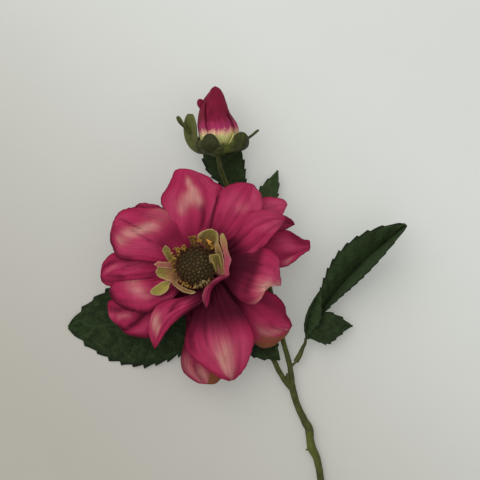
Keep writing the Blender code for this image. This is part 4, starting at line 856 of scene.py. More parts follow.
def rod(shell, route, sides=14, count=None, lumps=0.0, seed=0.0, ends=True, level=None, **fields):
    """Round rod along a route of (x, y, z, radius), a little uneven; level fixes its second UV."""
    rows = spline(route, count or 12 * len(route))
    centres, radius = rows[:, :3], rows[:, 3]
    tangent = unit(np.gradient(centres, axis=0))
    across = unit(np.cross(tangent[0], (0.3, 0.2, 0.93)))
    frames = []
    for step in tangent:
        across = unit(across - (across @ step) * step)
        frames.append(across)
    across = np.array(frames)
    up = np.cross(tangent, across)
    turn = np.linspace(0, 2 * np.pi, sides, endpoint=False)
    ring = across[:, None] * np.cos(turn)[None, :, None] + up[:, None] * np.sin(turn)[None, :, None]
    points = centres[:, None] + ring * radius[:, None, None]
    if lumps:
        swell = rough(points, 0.28, seed) * lumps + rough(points, 0.9, seed) * lumps * 0.4
        points = points + ring * swell[..., None]
    reach = np.concatenate([[0], np.cumsum(np.linalg.norm(np.diff(centres, axis=0), axis=1))])
    second = reach[:, None] / 10 if level is None else np.full((len(reach), 1), level)
    uv = np.stack(np.broadcast_arrays(turn[None] / (2 * np.pi), second), axis=-1)
    shell.grid(points, uv, wrap=True, **fields)
    if ends:
        still = dict.fromkeys(fields, 0.0)
        shell.cap(points[0][::-1], **still)
        shell.cap(points[-1], **still)


def bead(shell, centre, axis, radius, length, sides=8, rings=6, **fields):
    """Small egg along an axis."""
    axis = unit(np.asarray(axis, float))
    across = unit(np.cross(axis, (0.31, 0.87, 0.41)))
    up = np.cross(axis, across)
    lift = np.linspace(0.02, np.pi - 0.02, rings + 1)[:, None]
    turn = np.linspace(0, 2 * np.pi, sides, endpoint=False)[None]
    points = (np.asarray(centre) + axis * (-np.cos(lift) * length / 2)[..., None]
              + across * (np.sin(lift) * np.cos(turn) * radius)[..., None]
              + up * (np.sin(lift) * np.sin(turn) * radius)[..., None])
    top = np.broadcast_to((1 - np.cos(lift)) / 2, (rings + 1, sides))
    shell.grid(points, wrap=True, top=top, **fields)


# ------------------------------------------------------------------ materials
class Board:
    """Short way to lay out the nodes of a material or a group."""

    def __init__(self, tree):
        self.tree = tree

    def node(self, kind, settings=None, **inputs):
        """New node, its settings and its inputs by name, with spaces written as underscores."""
        made = self.tree.nodes.new("ShaderNode" + kind)
        for key, value in (settings or {}).items():
            setattr(made, key, value)
        for key, value in inputs.items():
            self.put(made.inputs[int(key[1:]) if key[1:].isdigit() else key.replace("_", " ")], value)
        return made

    def put(self, socket, value):
        """Link an output to a socket, or set the socket's value."""
        if isinstance(value, bpy.types.NodeSocket):
            self.tree.links.new(value, socket)
        elif hasattr(value, "__len__") and len(value) == 3 and len(socket.default_value) == 4:
            socket.default_value = (*value, 1.0)
        else:
            socket.default_value = value

    def field(self, name):
        """Value of one of the mesh's fields."""
        return self.node("Attribute", {"attribute_name": name}).outputs["Fac"]

    def math(self, operation, *values):
        """Result of a calculation."""
        made = self.node("Math", {"operation": operation})
        for socket, value in zip(made.inputs, values):
            self.put(socket, value)
        return made.outputs[0]

    def times(self, first, second):
        """Product of two values."""
        return self.math("MULTIPLY", first, second)

    def plus(self, first, second):
        """Sum of two values."""
        return self.math("ADD", first, second)

    def less(self, first, second):
        """Second value taken from the first."""
        return self.math("SUBTRACT", first, second)

    def step(self, value, low, high, start=0.0, end=1.0):
        """Smooth rise of a value between low and high."""
        made = self.node("MapRange", {"interpolation_type": "SMOOTHSTEP"}, Value=value, From_Min=low,
                         From_Max=high, To_Min=start, To_Max=end)
        return made.outputs["Result"]

    def mix(self, factor, first, second, blend="MIX"):
        """Mix of two colours."""
        made = self.node("Mix", {"data_type": "RGBA", "blend_type": blend}, _0=factor, _6=first, _7=second)
        return made.outputs[2]

    def noise(self, vector, scale, detail=3.0, rough=0.55):
        """Cloud noise, about 0.5."""
        made = self.node("TexNoise", Vector=vector, Scale=scale, Detail=detail, Roughness=rough)
        return made.outputs["Fac"]

    def vector(self, x, y, z=0.0):
        """Vector from three values."""
        return self.node("CombineXYZ", X=x, Y=y, Z=z).outputs[0]

    def place(self):
        """Place on the object, in metres."""
        return self.node("TexCoord").outputs["Object"]

    def shape(self):
        """Place across and along a piece, from 0 to 1."""
        uv = self.node("UVMap", {"uv_map": "shape"}).outputs[0]
        split = self.node("SeparateXYZ", Vector=uv)
        return split.outputs[0], split.outputs[1]

    def group(self, tree, **inputs):
        """Shared group placed in this tree."""
        made = self.tree.nodes.new("ShaderNodeGroup")
        made.node_tree = tree
        for key, value in inputs.items():
            self.put(made.inputs[key.replace("_", " ")], value)
        return made.outputs


def new_group(name, inputs, outputs):
    """Empty shared group with its sockets: its board, its inputs and its output node."""
    tree = bpy.data.node_groups.new(name, "ShaderNodeTree")
    for socket, kind, default in inputs:
        made = tree.interface.new_socket(socket, in_out="INPUT", socket_type="NodeSocket" + kind)
        if default is not None:
            made.default_value = default
    for socket, kind in outputs:
        tree.interface.new_socket(socket, in_out="OUTPUT", socket_type="NodeSocket" + kind)
    board = Board(tree)
    return board, tree.nodes.new("NodeGroupInput").outputs, tree.nodes.new("NodeGroupOutput").inputs


def cloth_weave():
    """Woven threads as a height, with fine fluff over them."""
    name = "cloth_weave"
    if name in bpy.data.node_groups:
        return bpy.data.node_groups[name]
    board, given, result = new_group(
        name, [("Threads", "Float", 3200.0), ("Fluff", "Float", 0.35)],
        [("Height", "Float"), ("Thread", "Float")])
    place = board.place()
    split = board.node("SeparateXYZ", Vector=place)
    warp = board.math("SINE", board.times(split.outputs[0], board.times(given[0], THREAD_TURN)))
    weft = board.math("SINE", board.times(split.outputs[1], board.times(given[0], THREAD_TURN)))
    thread = board.math("MULTIPLY_ADD", board.times(warp, weft), 0.5, 0.5)
    fluff = board.noise(place, 5200.0, 2.0)
    height = board.plus(thread, board.times(fluff, given[1]))
    board.put(result[0], height)
    board.put(result[1], thread)
    return board.tree


def mottle():
    """Uneven dye: two sizes of clouds round 1, to multiply a colour."""
    name = "mottle"
    if name in bpy.data.node_groups:
        return bpy.data.node_groups[name]
    board, given, result = new_group(
        name, [("Colour", "Color", None), ("Amount", "Float", 0.25), ("Scale", "Float", 140.0)],
        [("Colour", "Color"), ("Cloud", "Float")])
    place = board.place()
    wide = board.noise(place, given[2], 3.0)
    fine = board.noise(place, board.times(given[2], 6.0), 4.0)
    cloud = board.plus(board.times(wide, 0.65), board.times(fine, 0.35))
    gain = board.math("MULTIPLY_ADD", board.less(cloud, 0.5), board.times(given[1], 4.0), 1.0)
    board.put(result[0], board.mix(1.0, given[0], board.vector(gain, gain, gain), "MULTIPLY"))
    board.put(result[1], cloud)
    return board.tree


def plastic_skin():
    """Moulded plastic: fine orange peel and long flow lines as a height, with its roughness."""
    name = "plastic_skin"
    if name in bpy.data.node_groups:
        return bpy.data.node_groups[name]
    board, given, result = new_group(
        name, [("Roughness", "Float", 0.5), ("Grain", "Float", 1800.0)],
        [("Height", "Float"), ("Roughness", "Float")])
    place = board.place()
    peel = board.noise(place, given[1], 3.0)
    pits = board.noise(place, board.times(given[1], 0.22), 2.0)
    board.put(result[0], board.plus(peel, board.times(pits, 1.5)))
    board.put(result[1], board.plus(given[0], board.times(board.less(pits, 0.5), 0.3)))
    return board.tree


def material(name):
    """New material with its board and its Principled shader."""
    mat = bpy.data.materials.new(name)
    mat.use_nodes = True
    return mat, Board(mat.node_tree), mat.node_tree.nodes["Principled BSDF"]


def bump(board, height, depth, strength=1.0):
    """Normal from a height in units of depth, in metres."""
    return board.node("Bump", Height=height, Distance=depth, Strength=strength).outputs[0]


def streaks(board, across, along, wide, long, detail, seed=0.0):
    """Cloud noise drawn out along a piece: how often it changes across and along it."""
    return board.noise(board.vector(board.times(across, wide), board.times(along, long), seed), 1.0, detail)


def finish_cloth(board, shader, base, relief, dye, weave, depth, clouds, matt, specular, sheen, tint):
    """What every cloth has: uneven dye (amount, scale), threads (count, height) over its own relief,
    matt between two roughnesses with the clouds of the dye, and a faint sheen."""
    dyed = board.group(mottle(), Colour=base, Amount=dye[0], Scale=dye[1])
    threads = board.group(cloth_weave(), Threads=weave[0])
    height = board.plus(relief, board.times(threads[0], weave[1]))
    board.put(shader.inputs["Base Color"], dyed[0])
    board.put(shader.inputs["Normal"], bump(board, height, depth))
    board.put(shader.inputs["Roughness"], board.step(dyed[1], *clouds, *matt))
    shader.inputs["Specular IOR Level"].default_value = specular
    shader.inputs["Sheen Weight"].default_value = sheen
    shader.inputs["Sheen Tint"].default_value = (*tint, 1.0)


def finish_plastic(board, shader, base, dye, roughness, grain, depth, specular):
    """What every moulded plastic has: uneven tint (amount, scale) and a finely grained skin."""
    tinted = board.group(mottle(), Colour=base, Amount=dye[0], Scale=dye[1])
    skin = board.group(plastic_skin(), Roughness=roughness, Grain=grain)
    board.put(shader.inputs["Base Color"], tinted[0])
    board.put(shader.inputs["Normal"], bump(board, skin[0], depth))
    board.put(shader.inputs["Roughness"], skin[1])
    shader.inputs["Specular IOR Level"].default_value = specular


def petal_cloth():
    """Dyed petal cloth: magenta with feathered pale and pink patches, partly printed streaks and partly
    painted highlight, and dark at the base and in the folds with dark dye and painted shade.
    """
    dye = settings("petals")
    mat, board, shader = material("petal_cloth_dyed")
    across, along = board.shape()
    seed = board.field("seed")
    wide = streaks(board, across, along, 9.0, 1.8, 2.0, seed)
    fine = streaks(board, across, along, 38.0, 2.6, 3.0, seed)
    feather = board.plus(board.times(wide, 0.5), board.times(fine, 0.5))
    gain = board.step(feather, 0.30, 0.68, 0.45, 1.25)
    side = board.math("ABSOLUTE", board.math("MULTIPLY_ADD", across, 2.0, -1.0))
    rim = board.step(board.math("MAXIMUM", side, board.step(along, 0.80, 1.0)), 0.70, 1.0)
    base = board.mix(rim, dye.magenta, dye.edge)
    hem = board.step(board.math("MAXIMUM", side, board.step(along, 0.88, 1.0)), 0.93, 1.0, 0.0, 0.6)
    base = board.mix(hem, base, dye.maroon)
    # pink and pale patches: partly printed streaks, partly painted highlight
    base = board.mix(board.times(board.field("pink"), gain), base, dye.rose)
    base = board.mix(board.times(board.field("pale"), gain), base, dye.pale)
    # towards maroon: dark dye and painted shade
    deep = board.math("MULTIPLY_ADD", board.less(0.5, feather), 0.5, board.field("deep"))
    base = board.mix(board.times(board.step(deep, 0.02, 1.0), 0.96), base, dye.maroon)
    olive = board.times(board.field("olive"), gain)
    base = board.mix(board.step(olive, 0.15, 0.75), base, dye.olive)
    veins = board.step(fine, 0.52, 0.70, 1.0, 0.78)
    base = board.mix(1.0, base, board.vector(veins, veins, veins), "MULTIPLY")
    finish_cloth(board, shader, base, board.times(fine, 5.0), dye=(0.14, 120.0), weave=(3200.0, 0.3),
                 depth=0.00009, clouds=(0.2, 0.8), matt=(0.62, 0.80), specular=0.10, sheen=0.05,
                 tint=(1.0, 0.45, 0.6))
    shader.inputs["Sheen Roughness"].default_value = 0.45
    return mat


def collar_cloth():
    """Small petals: yellow-green running into pink, with fine veins and painted shade in their middles."""
    dye = settings("heart")
    mat, board, shader = material("collar_cloth_dyed")
    across, along = board.shape()
    veins = streaks(board, across, along, 22.0, 2.0, 3.0)
    pink = board.plus(board.field("pink"), board.times(board.less(veins, 0.5), 0.7))
    base = board.mix(board.step(pink, 0.0, 1.0), dye.green, dye.pink)
    # painted shade in the middle of each small petal and on the ring under them
    base = board.mix(board.times(board.field("dark"), 0.85), base, dye.shadow)
    worn = board.times(board.field("edge"), board.step(veins, 0.25, 0.6, 0.4, 1.0))
    base = board.mix(worn, base, dye.cream)
    finish_cloth(board, shader, base, board.times(veins, 4.0), dye=(0.22, 260.0), weave=(3200.0, 0.3),
                 depth=0.00008, clouds=(0.2, 0.8), matt=(0.60, 0.78), specular=0.12, sheen=0.05,
                 tint=(1.0, 1.0, 1.0))
    return mat


def seed_plastic():
    """Seeds: dark between them, tan-green on their tops, partly their own tint and partly painted
    highlight.
    """
    dye = settings("heart")
    mat, board, shader = material("disc_plastic_tinted")
    # lighter towards each seed's top: partly its tint, partly painted highlight
    top = board.step(board.field("top"), 0.15, 0.85)
    spread = board.noise(board.place(), 420.0, 2.0)
    outward = board.field("outward")
    worn = board.times(board.step(spread, 0.3, 0.65, 0.5, 1.0), board.step(outward, 0.30, 0.95, 1.0, 0.15))
    worn = board.times(worn, board.field("fade"))
    base = board.mix(board.step(outward, 0.6, 1.0), dye.seed_dark, dye.seed_rim)
    base = board.mix(board.times(top, worn), base, dye.seed_tip)
    finish_plastic(board, shader, base, dye=(0.3, 500.0), roughness=0.62, grain=2600.0, depth=0.00004,
                   specular=0.15)
    return mat


def stamen_plastic():
    """Stamens: tan stalks with ochre anthers, browner underneath."""
    dye = settings("heart")
    mat, board, shader = material("stamen_plastic_tinted")
    dust = board.noise(board.place(), 900.0, 3.0)
    tone = board.field("tone")
    base = board.mix(board.step(tone, 0.0, 0.5), dye.brown, dye.tan)
    base = board.mix(board.step(tone, 0.5, 1.0), base, dye.anther)
    base = board.mix(board.step(tone, 1.4, 1.9), base, dye.ivory)
    base = board.mix(board.field("anther"), dye.filament, base)
    base = board.mix(board.step(dust, 0.40, 0.64, 0.0, 0.85), base, dye.brown)
    finish_plastic(board, shader, base, dye=(0.35, 320.0), roughness=0.6, grain=3000.0, depth=0.00006,
                   specular=0.2)
    return mat


def bud_cloth():
    """Bud: yellow-green base, a peach and rose band, crimson above, with painted shade as streaks for its
    folds and painted shadow along its seams, where one petal ends over the next.
    """
    dye = settings("bud")
    mat, board, shader = material("bud_cloth_dyed")
    across, along = board.shape()
    streak = streaks(board, across, along, 60.0, 2.5, 3.0)
    wide = streaks(board, across, along, 14.0, 1.5, 2.0, 3.0)
    mixed = board.plus(board.times(streak, 0.08), board.times(wide, 0.26))
    level = board.plus(along, board.less(mixed, 0.17))
    base = board.mix(board.step(level, -0.11, -0.01), dye.foot, dye.yellow)
    base = board.mix(board.step(level, 0.07, 0.17), base, dye.peach)
    base = board.mix(board.step(level, 0.14, 0.25), base, dye.rose)
    base = board.mix(board.step(level, 0.25, 0.44), base, dye.crimson)
    # painted shade of folds, as darker streaks over the upper part
    fold = board.step(wide, 0.50, 0.66, 0.0, 0.55)
    base = board.mix(board.times(fold, board.step(level, 0.34, 0.55)), base, dye.fold)
    # painted shadow along the seams and creases
    base = board.mix(board.step(board.field("seam"), 0.1, 1.0, 0.0, 0.85), base, dye.seam)
    finish_cloth(board, shader, base, board.times(streak, 5.0), dye=(0.2, 220.0), weave=(3200.0, 0.3),
                 depth=0.00010, clouds=(0.2, 0.8), matt=(0.60, 0.78), specular=0.10, sheen=0.05,
                 tint=(1.0, 0.5, 0.6))
    return mat


def leaf_cloth():
    """Leaf cloth: dark green, lighter and mottled between embossed veins, lighter with painted light on
    leaflets turned from the lamp, darker at the cut edge.
    """
    dye = settings("leaves")
    mat, board, shader = material("leaf_cloth_dyed")
    across, _ = board.shape()
    side = board.math("ABSOLUTE", board.math("MULTIPLY_ADD", across, 2.0, -1.0))
    vein = board.step(board.field("vein"), 0.25, 1.0)
    clouds = board.noise(board.place(), 330.0, 4.0, 0.65)
    base = board.mix(board.step(clouds, 0.38, 0.68), dye.green, dye.light)
    base = board.mix(board.times(vein, board.step(clouds, 0.3, 0.6, 0.35, 0.9)), base, dye.vein)
    # painted light on the leaflets turned away from the lamp
    base = board.mix(board.times(board.field("fresh"), 0.5), base, dye.fresh)
    base = board.mix(board.step(side, 0.86, 1.0, 0.0, 0.8), base, dye.edge)
    net = board.node("TexVoronoi", {"feature": "DISTANCE_TO_EDGE"}, Vector=board.place(), Scale=620.0)
    cells = board.step(net.outputs["Distance"], 0.0, 0.25)
    finish_cloth(board, shader, base, board.times(cells, 1.6), dye=(0.3, 90.0), weave=(2600.0, 0.5),
                 depth=0.00014, clouds=(0.25, 0.75), matt=(0.50, 0.74), specular=0.14, sheen=0.03,
                 tint=(0.75, 1.0, 0.8))
    return mat


def green_plastic(name, bright, dark, roughness):
    """Moulded green plastic, stained darker in patches and lighter on worn ridges, with painted light and
    painted shade on some sepals.
    """
    dye = settings("stem")
    mat, board, shader = material(name)
    worn = board.field("worn")
    stain = board.noise(board.place(), 95.0, 4.0, 0.6)
    base = board.mix(board.step(stain, 0.36, 0.66), bright, dark)
    # lighter on worn ridges and edges, and painted light on the brightest sepal
    base = board.mix(board.step(worn, 0.0, 1.0, 0.0, 0.55), base, dye.worn)
    # painted shade where the worn field falls below 0
    base = board.mix(board.step(worn, -1.0, -0.1, 0.75, 0.0), base, dye.painted_shade)
    finish_plastic(board, shader, base, dye=(0.3, 420.0), roughness=roughness, grain=1500.0, depth=0.00010,
                   specular=0.2)
    return mat


def stem_plastic():
    """Olive plastic of the stem, the stalks and the calyx."""
    name = "stem_plastic_moulded"
    dye = settings("stem")
    return bpy.data.materials.get(name) or green_plastic(name, dye.olive, dye.dark, 0.5)


def drawn_wire():
    """Drawn steel wire: fine lines along it and a few dull spots."""
    mat, board, shader = material("wire_steel_drawn")
    split = board.node("SeparateXYZ", Vector=board.place())
    stretched = board.vector(board.times(split.outputs[0], 6000.0),
                             board.times(split.outputs[1], 60.0),
                             board.times(split.outputs[2], 6000.0))
    lines = board.noise(stretched, 1.0, 2.0)
    tint = board.group(mottle(), Colour=settings("stem").bare, Amount=0.3, Scale=700.0)
    board.put(shader.inputs["Base Color"], tint[0])
    board.put(shader.inputs["Normal"], bump(board, lines, 0.00002))
    board.put(shader.inputs["Roughness"], board.step(lines, 0.3, 0.7, 0.28, 0.5))
    shader.inputs["Metallic"].default_value = 1.0
    return mat


# ------------------------------------------------------------------ pieces, one operator for each
class DAHLIA_OT_petals(bpy.types.Operator):
    """Make the two layers of petals"""
    bl_idname = "dahlia.petals"
    bl_label = "Petals"
    bl_options = {"REGISTER", "UNDO"}

    def execute(self, context):
        cloth = petal_cloth()
        thickness = settings("petals").thickness
        front = Shell()
        for number, petal in enumerate(FRONT_PETALS):
            cut_petal(front, petal, number + 1)
        for flap, grooves, number in ((SWEPT_PETAL, SWEPT_GROOVES, 9), (RIM, (), 10)):
            points, v, t = flap_grid(flap, number, 44, 24, 5.0)
            points[..., 2] += grooved(v, t, grooves)
            front.grid(points, chart(v, t), **petal_fields(v, t, flap.look, number))
        layer = front.make("front_petals", cloth, thickness)
        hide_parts("bloom_petals")
        back = Shell()
        for number, petal in enumerate(BACK_PETALS):
            cut_petal(back, petal, number + 21, 36, 24)
        layer = back.make("back_petals", cloth, thickness)
        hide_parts("bloom_petals")
        hub = Shell()
        low = CALYX_TOP + GAP
        turned(hub, [(0, low), (PETAL_HUB_RADIUS - 0.6, low), (PETAL_HUB_RADIUS, low + 0.6),
                     (PETAL_HUB_RADIUS, PETAL_HUB_TOP - 0.6), (PETAL_HUB_RADIUS - 0.6, PETAL_HUB_TOP),
                     (0, PETAL_HUB_TOP)], pale=0.0, pink=0.0, deep=1.0, olive=0.0, seed=5.0)
        layer = hub.make("petal_hub", cloth)
        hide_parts("bloom_petals")
        return {"FINISHED"}


class DAHLIA_OT_petaloids(bpy.types.Operator):
    """Make the collar of small petals round the seed head"""
    bl_idname = "dahlia.petaloids"
    bl_label = "Petaloids"
    bl_options = {"REGISTER", "UNDO"}

    def execute(self, context):
        shell = Shell()
        for number, flap in enumerate(PETALOIDS):
            points, v, t = flap_grid(flap, number + 31, 30, 18, 6.0)
            points[..., 2] += grooved(v, t, PETALOID_GROOVES)
            # dark is the flap's painted shade in its middle
            root, tip, dark, edge = flap.look
            hem = np.maximum(smoothstep(0.62, 1.0, abs(v)), smoothstep(0.88, 1, t))
            shell.grid(points, chart(v, t), pink=root + (tip - root) * t + 0.1 * abs(v) ** 3,
                       edge=edge * hem * smoothstep(0.3, 0.6, t),
                       dark=dark * (1 - smoothstep(0.6, 0.95, abs(v))) * (1 - smoothstep(0.72, 0.95, t)))
        low = PETAL_HUB_TOP + GAP
        # the ring under the seed head is wholly in painted shade
        turned(shell, [(0, low), (COLLAR_RADIUS, low), (COLLAR_RADIUS, COLLAR_TOP), (0, COLLAR_TOP)],
               pink=0.6, dark=1.0, edge=0.0)
        piece = shell.make("petaloid_collar", collar_cloth(), settings("heart").petaloid)
        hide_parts("bloom_petaloids")
        return {"FINISHED"}


class DAHLIA_OT_stamens(bpy.types.Operator):
    """Make the tufts of stamens"""
    bl_idname = "dahlia.stamens"
    bl_label = "Stamens"
    bl_options = {"REGISTER", "UNDO"}

    def execute(self, context):
        draw = np.random.default_rng(14)
        shell = Shell()
        low = COLLAR_TOP + GAP
        turned(shell, [(0, low), (STAMEN_RING_RADIUS, low), (STAMEN_RING_RADIUS, STAMEN_RING_TOP),
                       (0, STAMEN_RING_TOP)], anther=1.0, tone=0.0, top=0.0)
        for azimuth, reach, height, count, width, tone in TUFTS:
            for _ in range(count + 3):
                turn = azimuth + draw.uniform(-8, 8)
                head = polar(turn, reach + draw.uniform(-1.1, 1.2), height + draw.uniform(-1.2, 0.8))
                outer = max(reach + 0.3, DISC_RADIUS + 0.5)
                rod(shell, [(*polar(turn, STAMEN_RING_RADIUS - 0.6, low + 0.7), 0.26),
                            (*polar(turn, DISC_RADIUS + 0.7, low + 1.3), 0.24),
                            (*polar(turn, outer, height - 2.4), 0.18), (*head, 0.16)], 6, 11,
                    anther=0.0, tone=0.0, top=0.0)
                lean = unit(draw.normal(size=3) + polar(turn, 0.5, 0.8))
                side = unit(np.cross(lean, draw.normal(size=3))) * width * 0.62
                for way in (-1, 1):
                    long = width * (draw.uniform(2.2, 2.8) if tone > 1.2 else draw.uniform(3.2, 5.0))
                    bead(shell, head + way * side, lean, width * draw.uniform(0.55, 0.85), long, 8, 6,
                         anther=1.0, tone=tone + draw.uniform(-0.3, 0.25))
        piece = shell.make("stamen_tufts", stamen_plastic())
        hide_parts("bloom_stamens")
        return {"FINISHED"}


class DAHLIA_OT_seed_head(bpy.types.Operator):
    """Make the dome with its spiral rows of seeds"""
    bl_idname = "dahlia.seed_head"
    bl_label = "Seed head"
    bl_options = {"REGISTER", "UNDO"}

    def execute(self, context):
        given = settings("heart")
        draw = np.random.default_rng(5)
        shell = Shell()
        bottom = STAMEN_RING_TOP + GAP
        shoulder = bottom + DISC_EDGE
        share = np.linspace(0, 1, 14)
        radius = (DISC_RADIUS - 0.6) * np.cos(share * np.pi / 2)
        rise = shoulder + (DISC_TOP - 0.8 - shoulder) * (1 - (radius / DISC_RADIUS) ** 2) ** 0.8
        turned(shell, [(0, bottom), (DISC_RADIUS - 1.2, bottom), (DISC_RADIUS - 0.5, shoulder - 0.5),
                       *zip(radius, rise)], 48, top=0.0, outward=0.6, fade=0.0)
        for k in range(given.seeds):
            reach = (DISC_RADIUS - 0.35) * math.sqrt((k + 0.4) / given.seeds)
            azimuth = GOLDEN_ANGLE * k
            level = shoulder + (DISC_TOP - 0.9 - shoulder) * (1 - (reach / DISC_RADIUS) ** 2) ** 0.8
            out = polar(azimuth, 1, 0)
            lean = out * (0.25 + 0.75 * (reach / DISC_RADIUS) ** 2) + (0, 0, 1)
            lean = unit(lean + draw.normal(size=3) * 0.12)
            size = given.seed_radius * 1000 * (0.75 + 0.35 * reach / DISC_RADIUS) * draw.uniform(0.85, 1.1)
            place = polar(azimuth + draw.uniform(-2, 2), reach, level + draw.uniform(-0.25, 0.15))
            bead(shell, place, lean, size, 2.0, 9, 7, outward=reach / DISC_RADIUS,
                 fade=draw.uniform(0.3, 1.0))
        piece = shell.make("seed_head", seed_plastic())
        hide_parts("bloom_disc")
        return {"FINISHED"}


class DAHLIA_OT_calyx(bpy.types.Operator):
    """Make the cup and the sepals behind the bloom"""
    bl_idname = "dahlia.calyx"
    bl_label = "Bloom calyx"
    bl_options = {"REGISTER", "UNDO"}

    def execute(self, context):
        shell = Shell()
        profile = spline([(1.5, CALYX_BOTTOM), (2.6, CALYX_BOTTOM + 0.1), (3.0, 9.5), (4.6, 12.4),
                          (6.6, 15.2), (CALYX_RADIUS, CALYX_TOP - 0.6), (CALYX_RADIUS - 0.6, CALYX_TOP)],
                         30)
        turned(shell, [*profile, (0.5, CALYX_TOP)], 48, worn=0.0)
        half = Half(3.2, 0.45, 0.70)
        for k in range(CALYX_SEPALS):
            turn = 360 * k / CALYX_SEPALS + 5
            rise = 15.6 - 0.9 * (k % 2)
            blade = Blade((turn, 4.0, rise - 1), (turn, 14.0, rise), (turn, 17.5, 9.5),
                          half, half, 0.7, 12, (12, 12))
            leafy_blade(shell, blade, 0.8, k)
        piece = shell.make("bloom_calyx_cup", stem_plastic())
        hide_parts("bloom_calyx")
        return {"FINISHED"}


def leafy_blade(shell, blade, thickness, seed, matrix=None, tone=0.0):
    """Solid sepal with a central vein, closed all round."""
    points, v, u, normal = blade_grid(blade, 18, 10)
    relief = 0.22 * hump(v, 0, 0.12) - 0.18 * hump(v, 0.45, 0.16) - 0.18 * hump(v, -0.45, 0.16)
    relief = relief * np.sin(np.pi * np.clip(u, 0, 1)) ** 0.5 + rough(points, 0.35, seed) * 0.25
    thin = 0.35 + 0.65 * (1 - abs(v) ** 4)
    top = points + normal * (relief + thickness / 2 * thin)[..., None]
    under = points - normal * (thickness / 2 * thin - relief)[..., None]
    ring = np.concatenate([top, under[:, ::-1]], axis=1)
    if matrix is not None:
        ring = matrix(ring)
    # tone is the sepal's painted light (above 0) and painted shade (below 0)
    worn = np.broadcast_to(tone + 0.6 * hump(v, 0, 0.1) + 0.5 * abs(v) ** 8, top.shape[:2])
    side = np.broadcast_to((v + 1) / 2, top.shape[:2])
    place = np.broadcast_to(u, top.shape[:2])
    uv = np.stack([np.concatenate([side, side[:, ::-1]], axis=1), np.concatenate([place, place], axis=1)],
                  axis=-1)
    shell.grid(ring, uv, wrap=True, worn=np.concatenate([worn, worn[:, ::-1]], axis=1))
    shell.cap(ring[-1], worn=0.5)


def bud_place(points):
    """Points in the bud's own frame, base to tip along Z with -Y facing up, moved to the spray."""
    along = unit(BUD_TIP - BUD_BASE)
    across = unit(np.array([1.0, 0, 0]) - along[0] * along)
    deep = np.cross(along, across)
    return BUD_BASE + points @ np.stack([across, deep, along])


class DAHLIA_OT_bud(bpy.types.Operator):
    """Make the closed bud from petals that wrap over each other"""
    bl_idname = "dahlia.bud"
    bl_label = "Bud"
    bl_options = {"REGISTER", "UNDO"}

    def execute(self, context):
        shell = Shell()
        shape = spline(BUD_SHAPE, 80)
        length = BUD_LENGTH - BUD_SEAT

        def wrap(place, turn, off, v, seam, number):
            radius = np.interp(place, shape[:, 0], shape[:, 1]) + off
            shift = np.interp(place, shape[:, 0], shape[:, 2])
            points = np.stack(np.broadcast_arrays(radius * np.cos(turn), radius * np.sin(turn),
                                                  BUD_SEAT + place * length), axis=-1)
            points[..., :2] *= (1 + 0.045 * rough(points, 0.22, number * 5))[..., None]
            points[..., 0] += shift
            shell.grid(bud_place(points), chart(v, place), seam=seam)

        turn = np.linspace(-np.pi, np.pi, 57)[None]
        place = np.linspace(BUD_FOOT, 1.0, 46)[:, None]
        # the core gets painted shade near the tip, where it shows between the wrapped petals
        wrap(place, turn, -0.25, turn / np.pi, 0.35 * smoothstep(0.7, 1, place), 7)
        for number, (azimuth, spread, end, lift, edge) in enumerate(BUD_WRAPS):
            t = np.linspace(0, 1, 36)[:, None]
            v = np.linspace(-1, 1, 33)[None]
            place = BUD_FOOT + (end - BUD_FOOT) * t * (1 - 0.13 * abs(v) ** 3 * t)
            turn = np.radians(azimuth + v * spread * (1 - 0.12 * smoothstep(0.6, 1, t)))
            off = lift * (0.4 + 0.6 * smoothstep(0, 0.3, t)) * (1 - 0.5 * smoothstep(0.75, 1, t))
            off = off + edge * abs(v) ** 6 * smoothstep(0.1, 0.5, t)
            off = off - 0.45 * hump(v, -0.35 + 0.3 * t, 0.16) - 0.35 * hump(v, 0.3 - 0.2 * t, 0.14)
            # painted shadow in each petal's crease and along its edges, where it lies over the next
            seam = 0.9 * hump(v, -0.35 + 0.3 * t, 0.08) * smoothstep(0.35, 0.6, t) * (lift < 0.2)
            seam = np.maximum(seam, 0.8 * abs(v) ** 18 * smoothstep(0.15, 0.5, t))
            wrap(place, turn, off, v, seam, number)
        lobe = [(*bud_place(np.array(stop[:3])), stop[3]) for stop in BUD_LOBE]
        # mild painted shade over the curled lobe
        rod(shell, lobe, 16, 24, 0.15, 3.0, seam=0.25, ends=False, level=0.8)
        piece = shell.make("bud_wraps", bud_cloth(), settings("bud").thickness)
        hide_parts("bud_petals")
        return {"FINISHED"}


class DAHLIA_OT_bud_calyx(bpy.types.Operator):
    """Make the cup, sepals and fingers under the bud"""
    bl_idname = "dahlia.bud_calyx"
    bl_label = "Bud calyx"
    bl_options = {"REGISTER", "UNDO"}

    def execute(self, context):
        dye = settings("bud")
        shell = Shell()
        profile = spline([(1.45, -4.8), (2.6, -4.8), (4.0, -3.8), (6.4, -2.9), (7.9, -1.6), (8.4, 0.2),
                          (7.4, 0.1), (4.8, -0.7), (0.5, -0.8)], 36)
        sides = 40
        upright = Shell()
        turned(upright, profile, sides)
        cup = upright.points[0].reshape(len(profile), sides, 3)
        shell.grid(bud_place(cup), wrap=True, worn=0.0)
        # each sepal gets its painted light and shade
        for number, (blade, tone) in enumerate(zip(BUD_SEPALS, SEPAL_LIGHT_AND_SHADE)):
            leafy_blade(shell, blade, 0.8, 3.0 * number + 40, bud_place, tone)
        for number, blade in enumerate(BUD_FINGERS):
            leafy_blade(shell, blade, 0.9, 5.0 * number + 60, bud_place)
        sepal = green_plastic("sepal_plastic_moulded", dye.sepal, dye.sepal_dark, 0.55)
        piece = shell.make("bud_cup", sepal)
        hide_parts("bud_calyx")
        return {"FINISHED"}


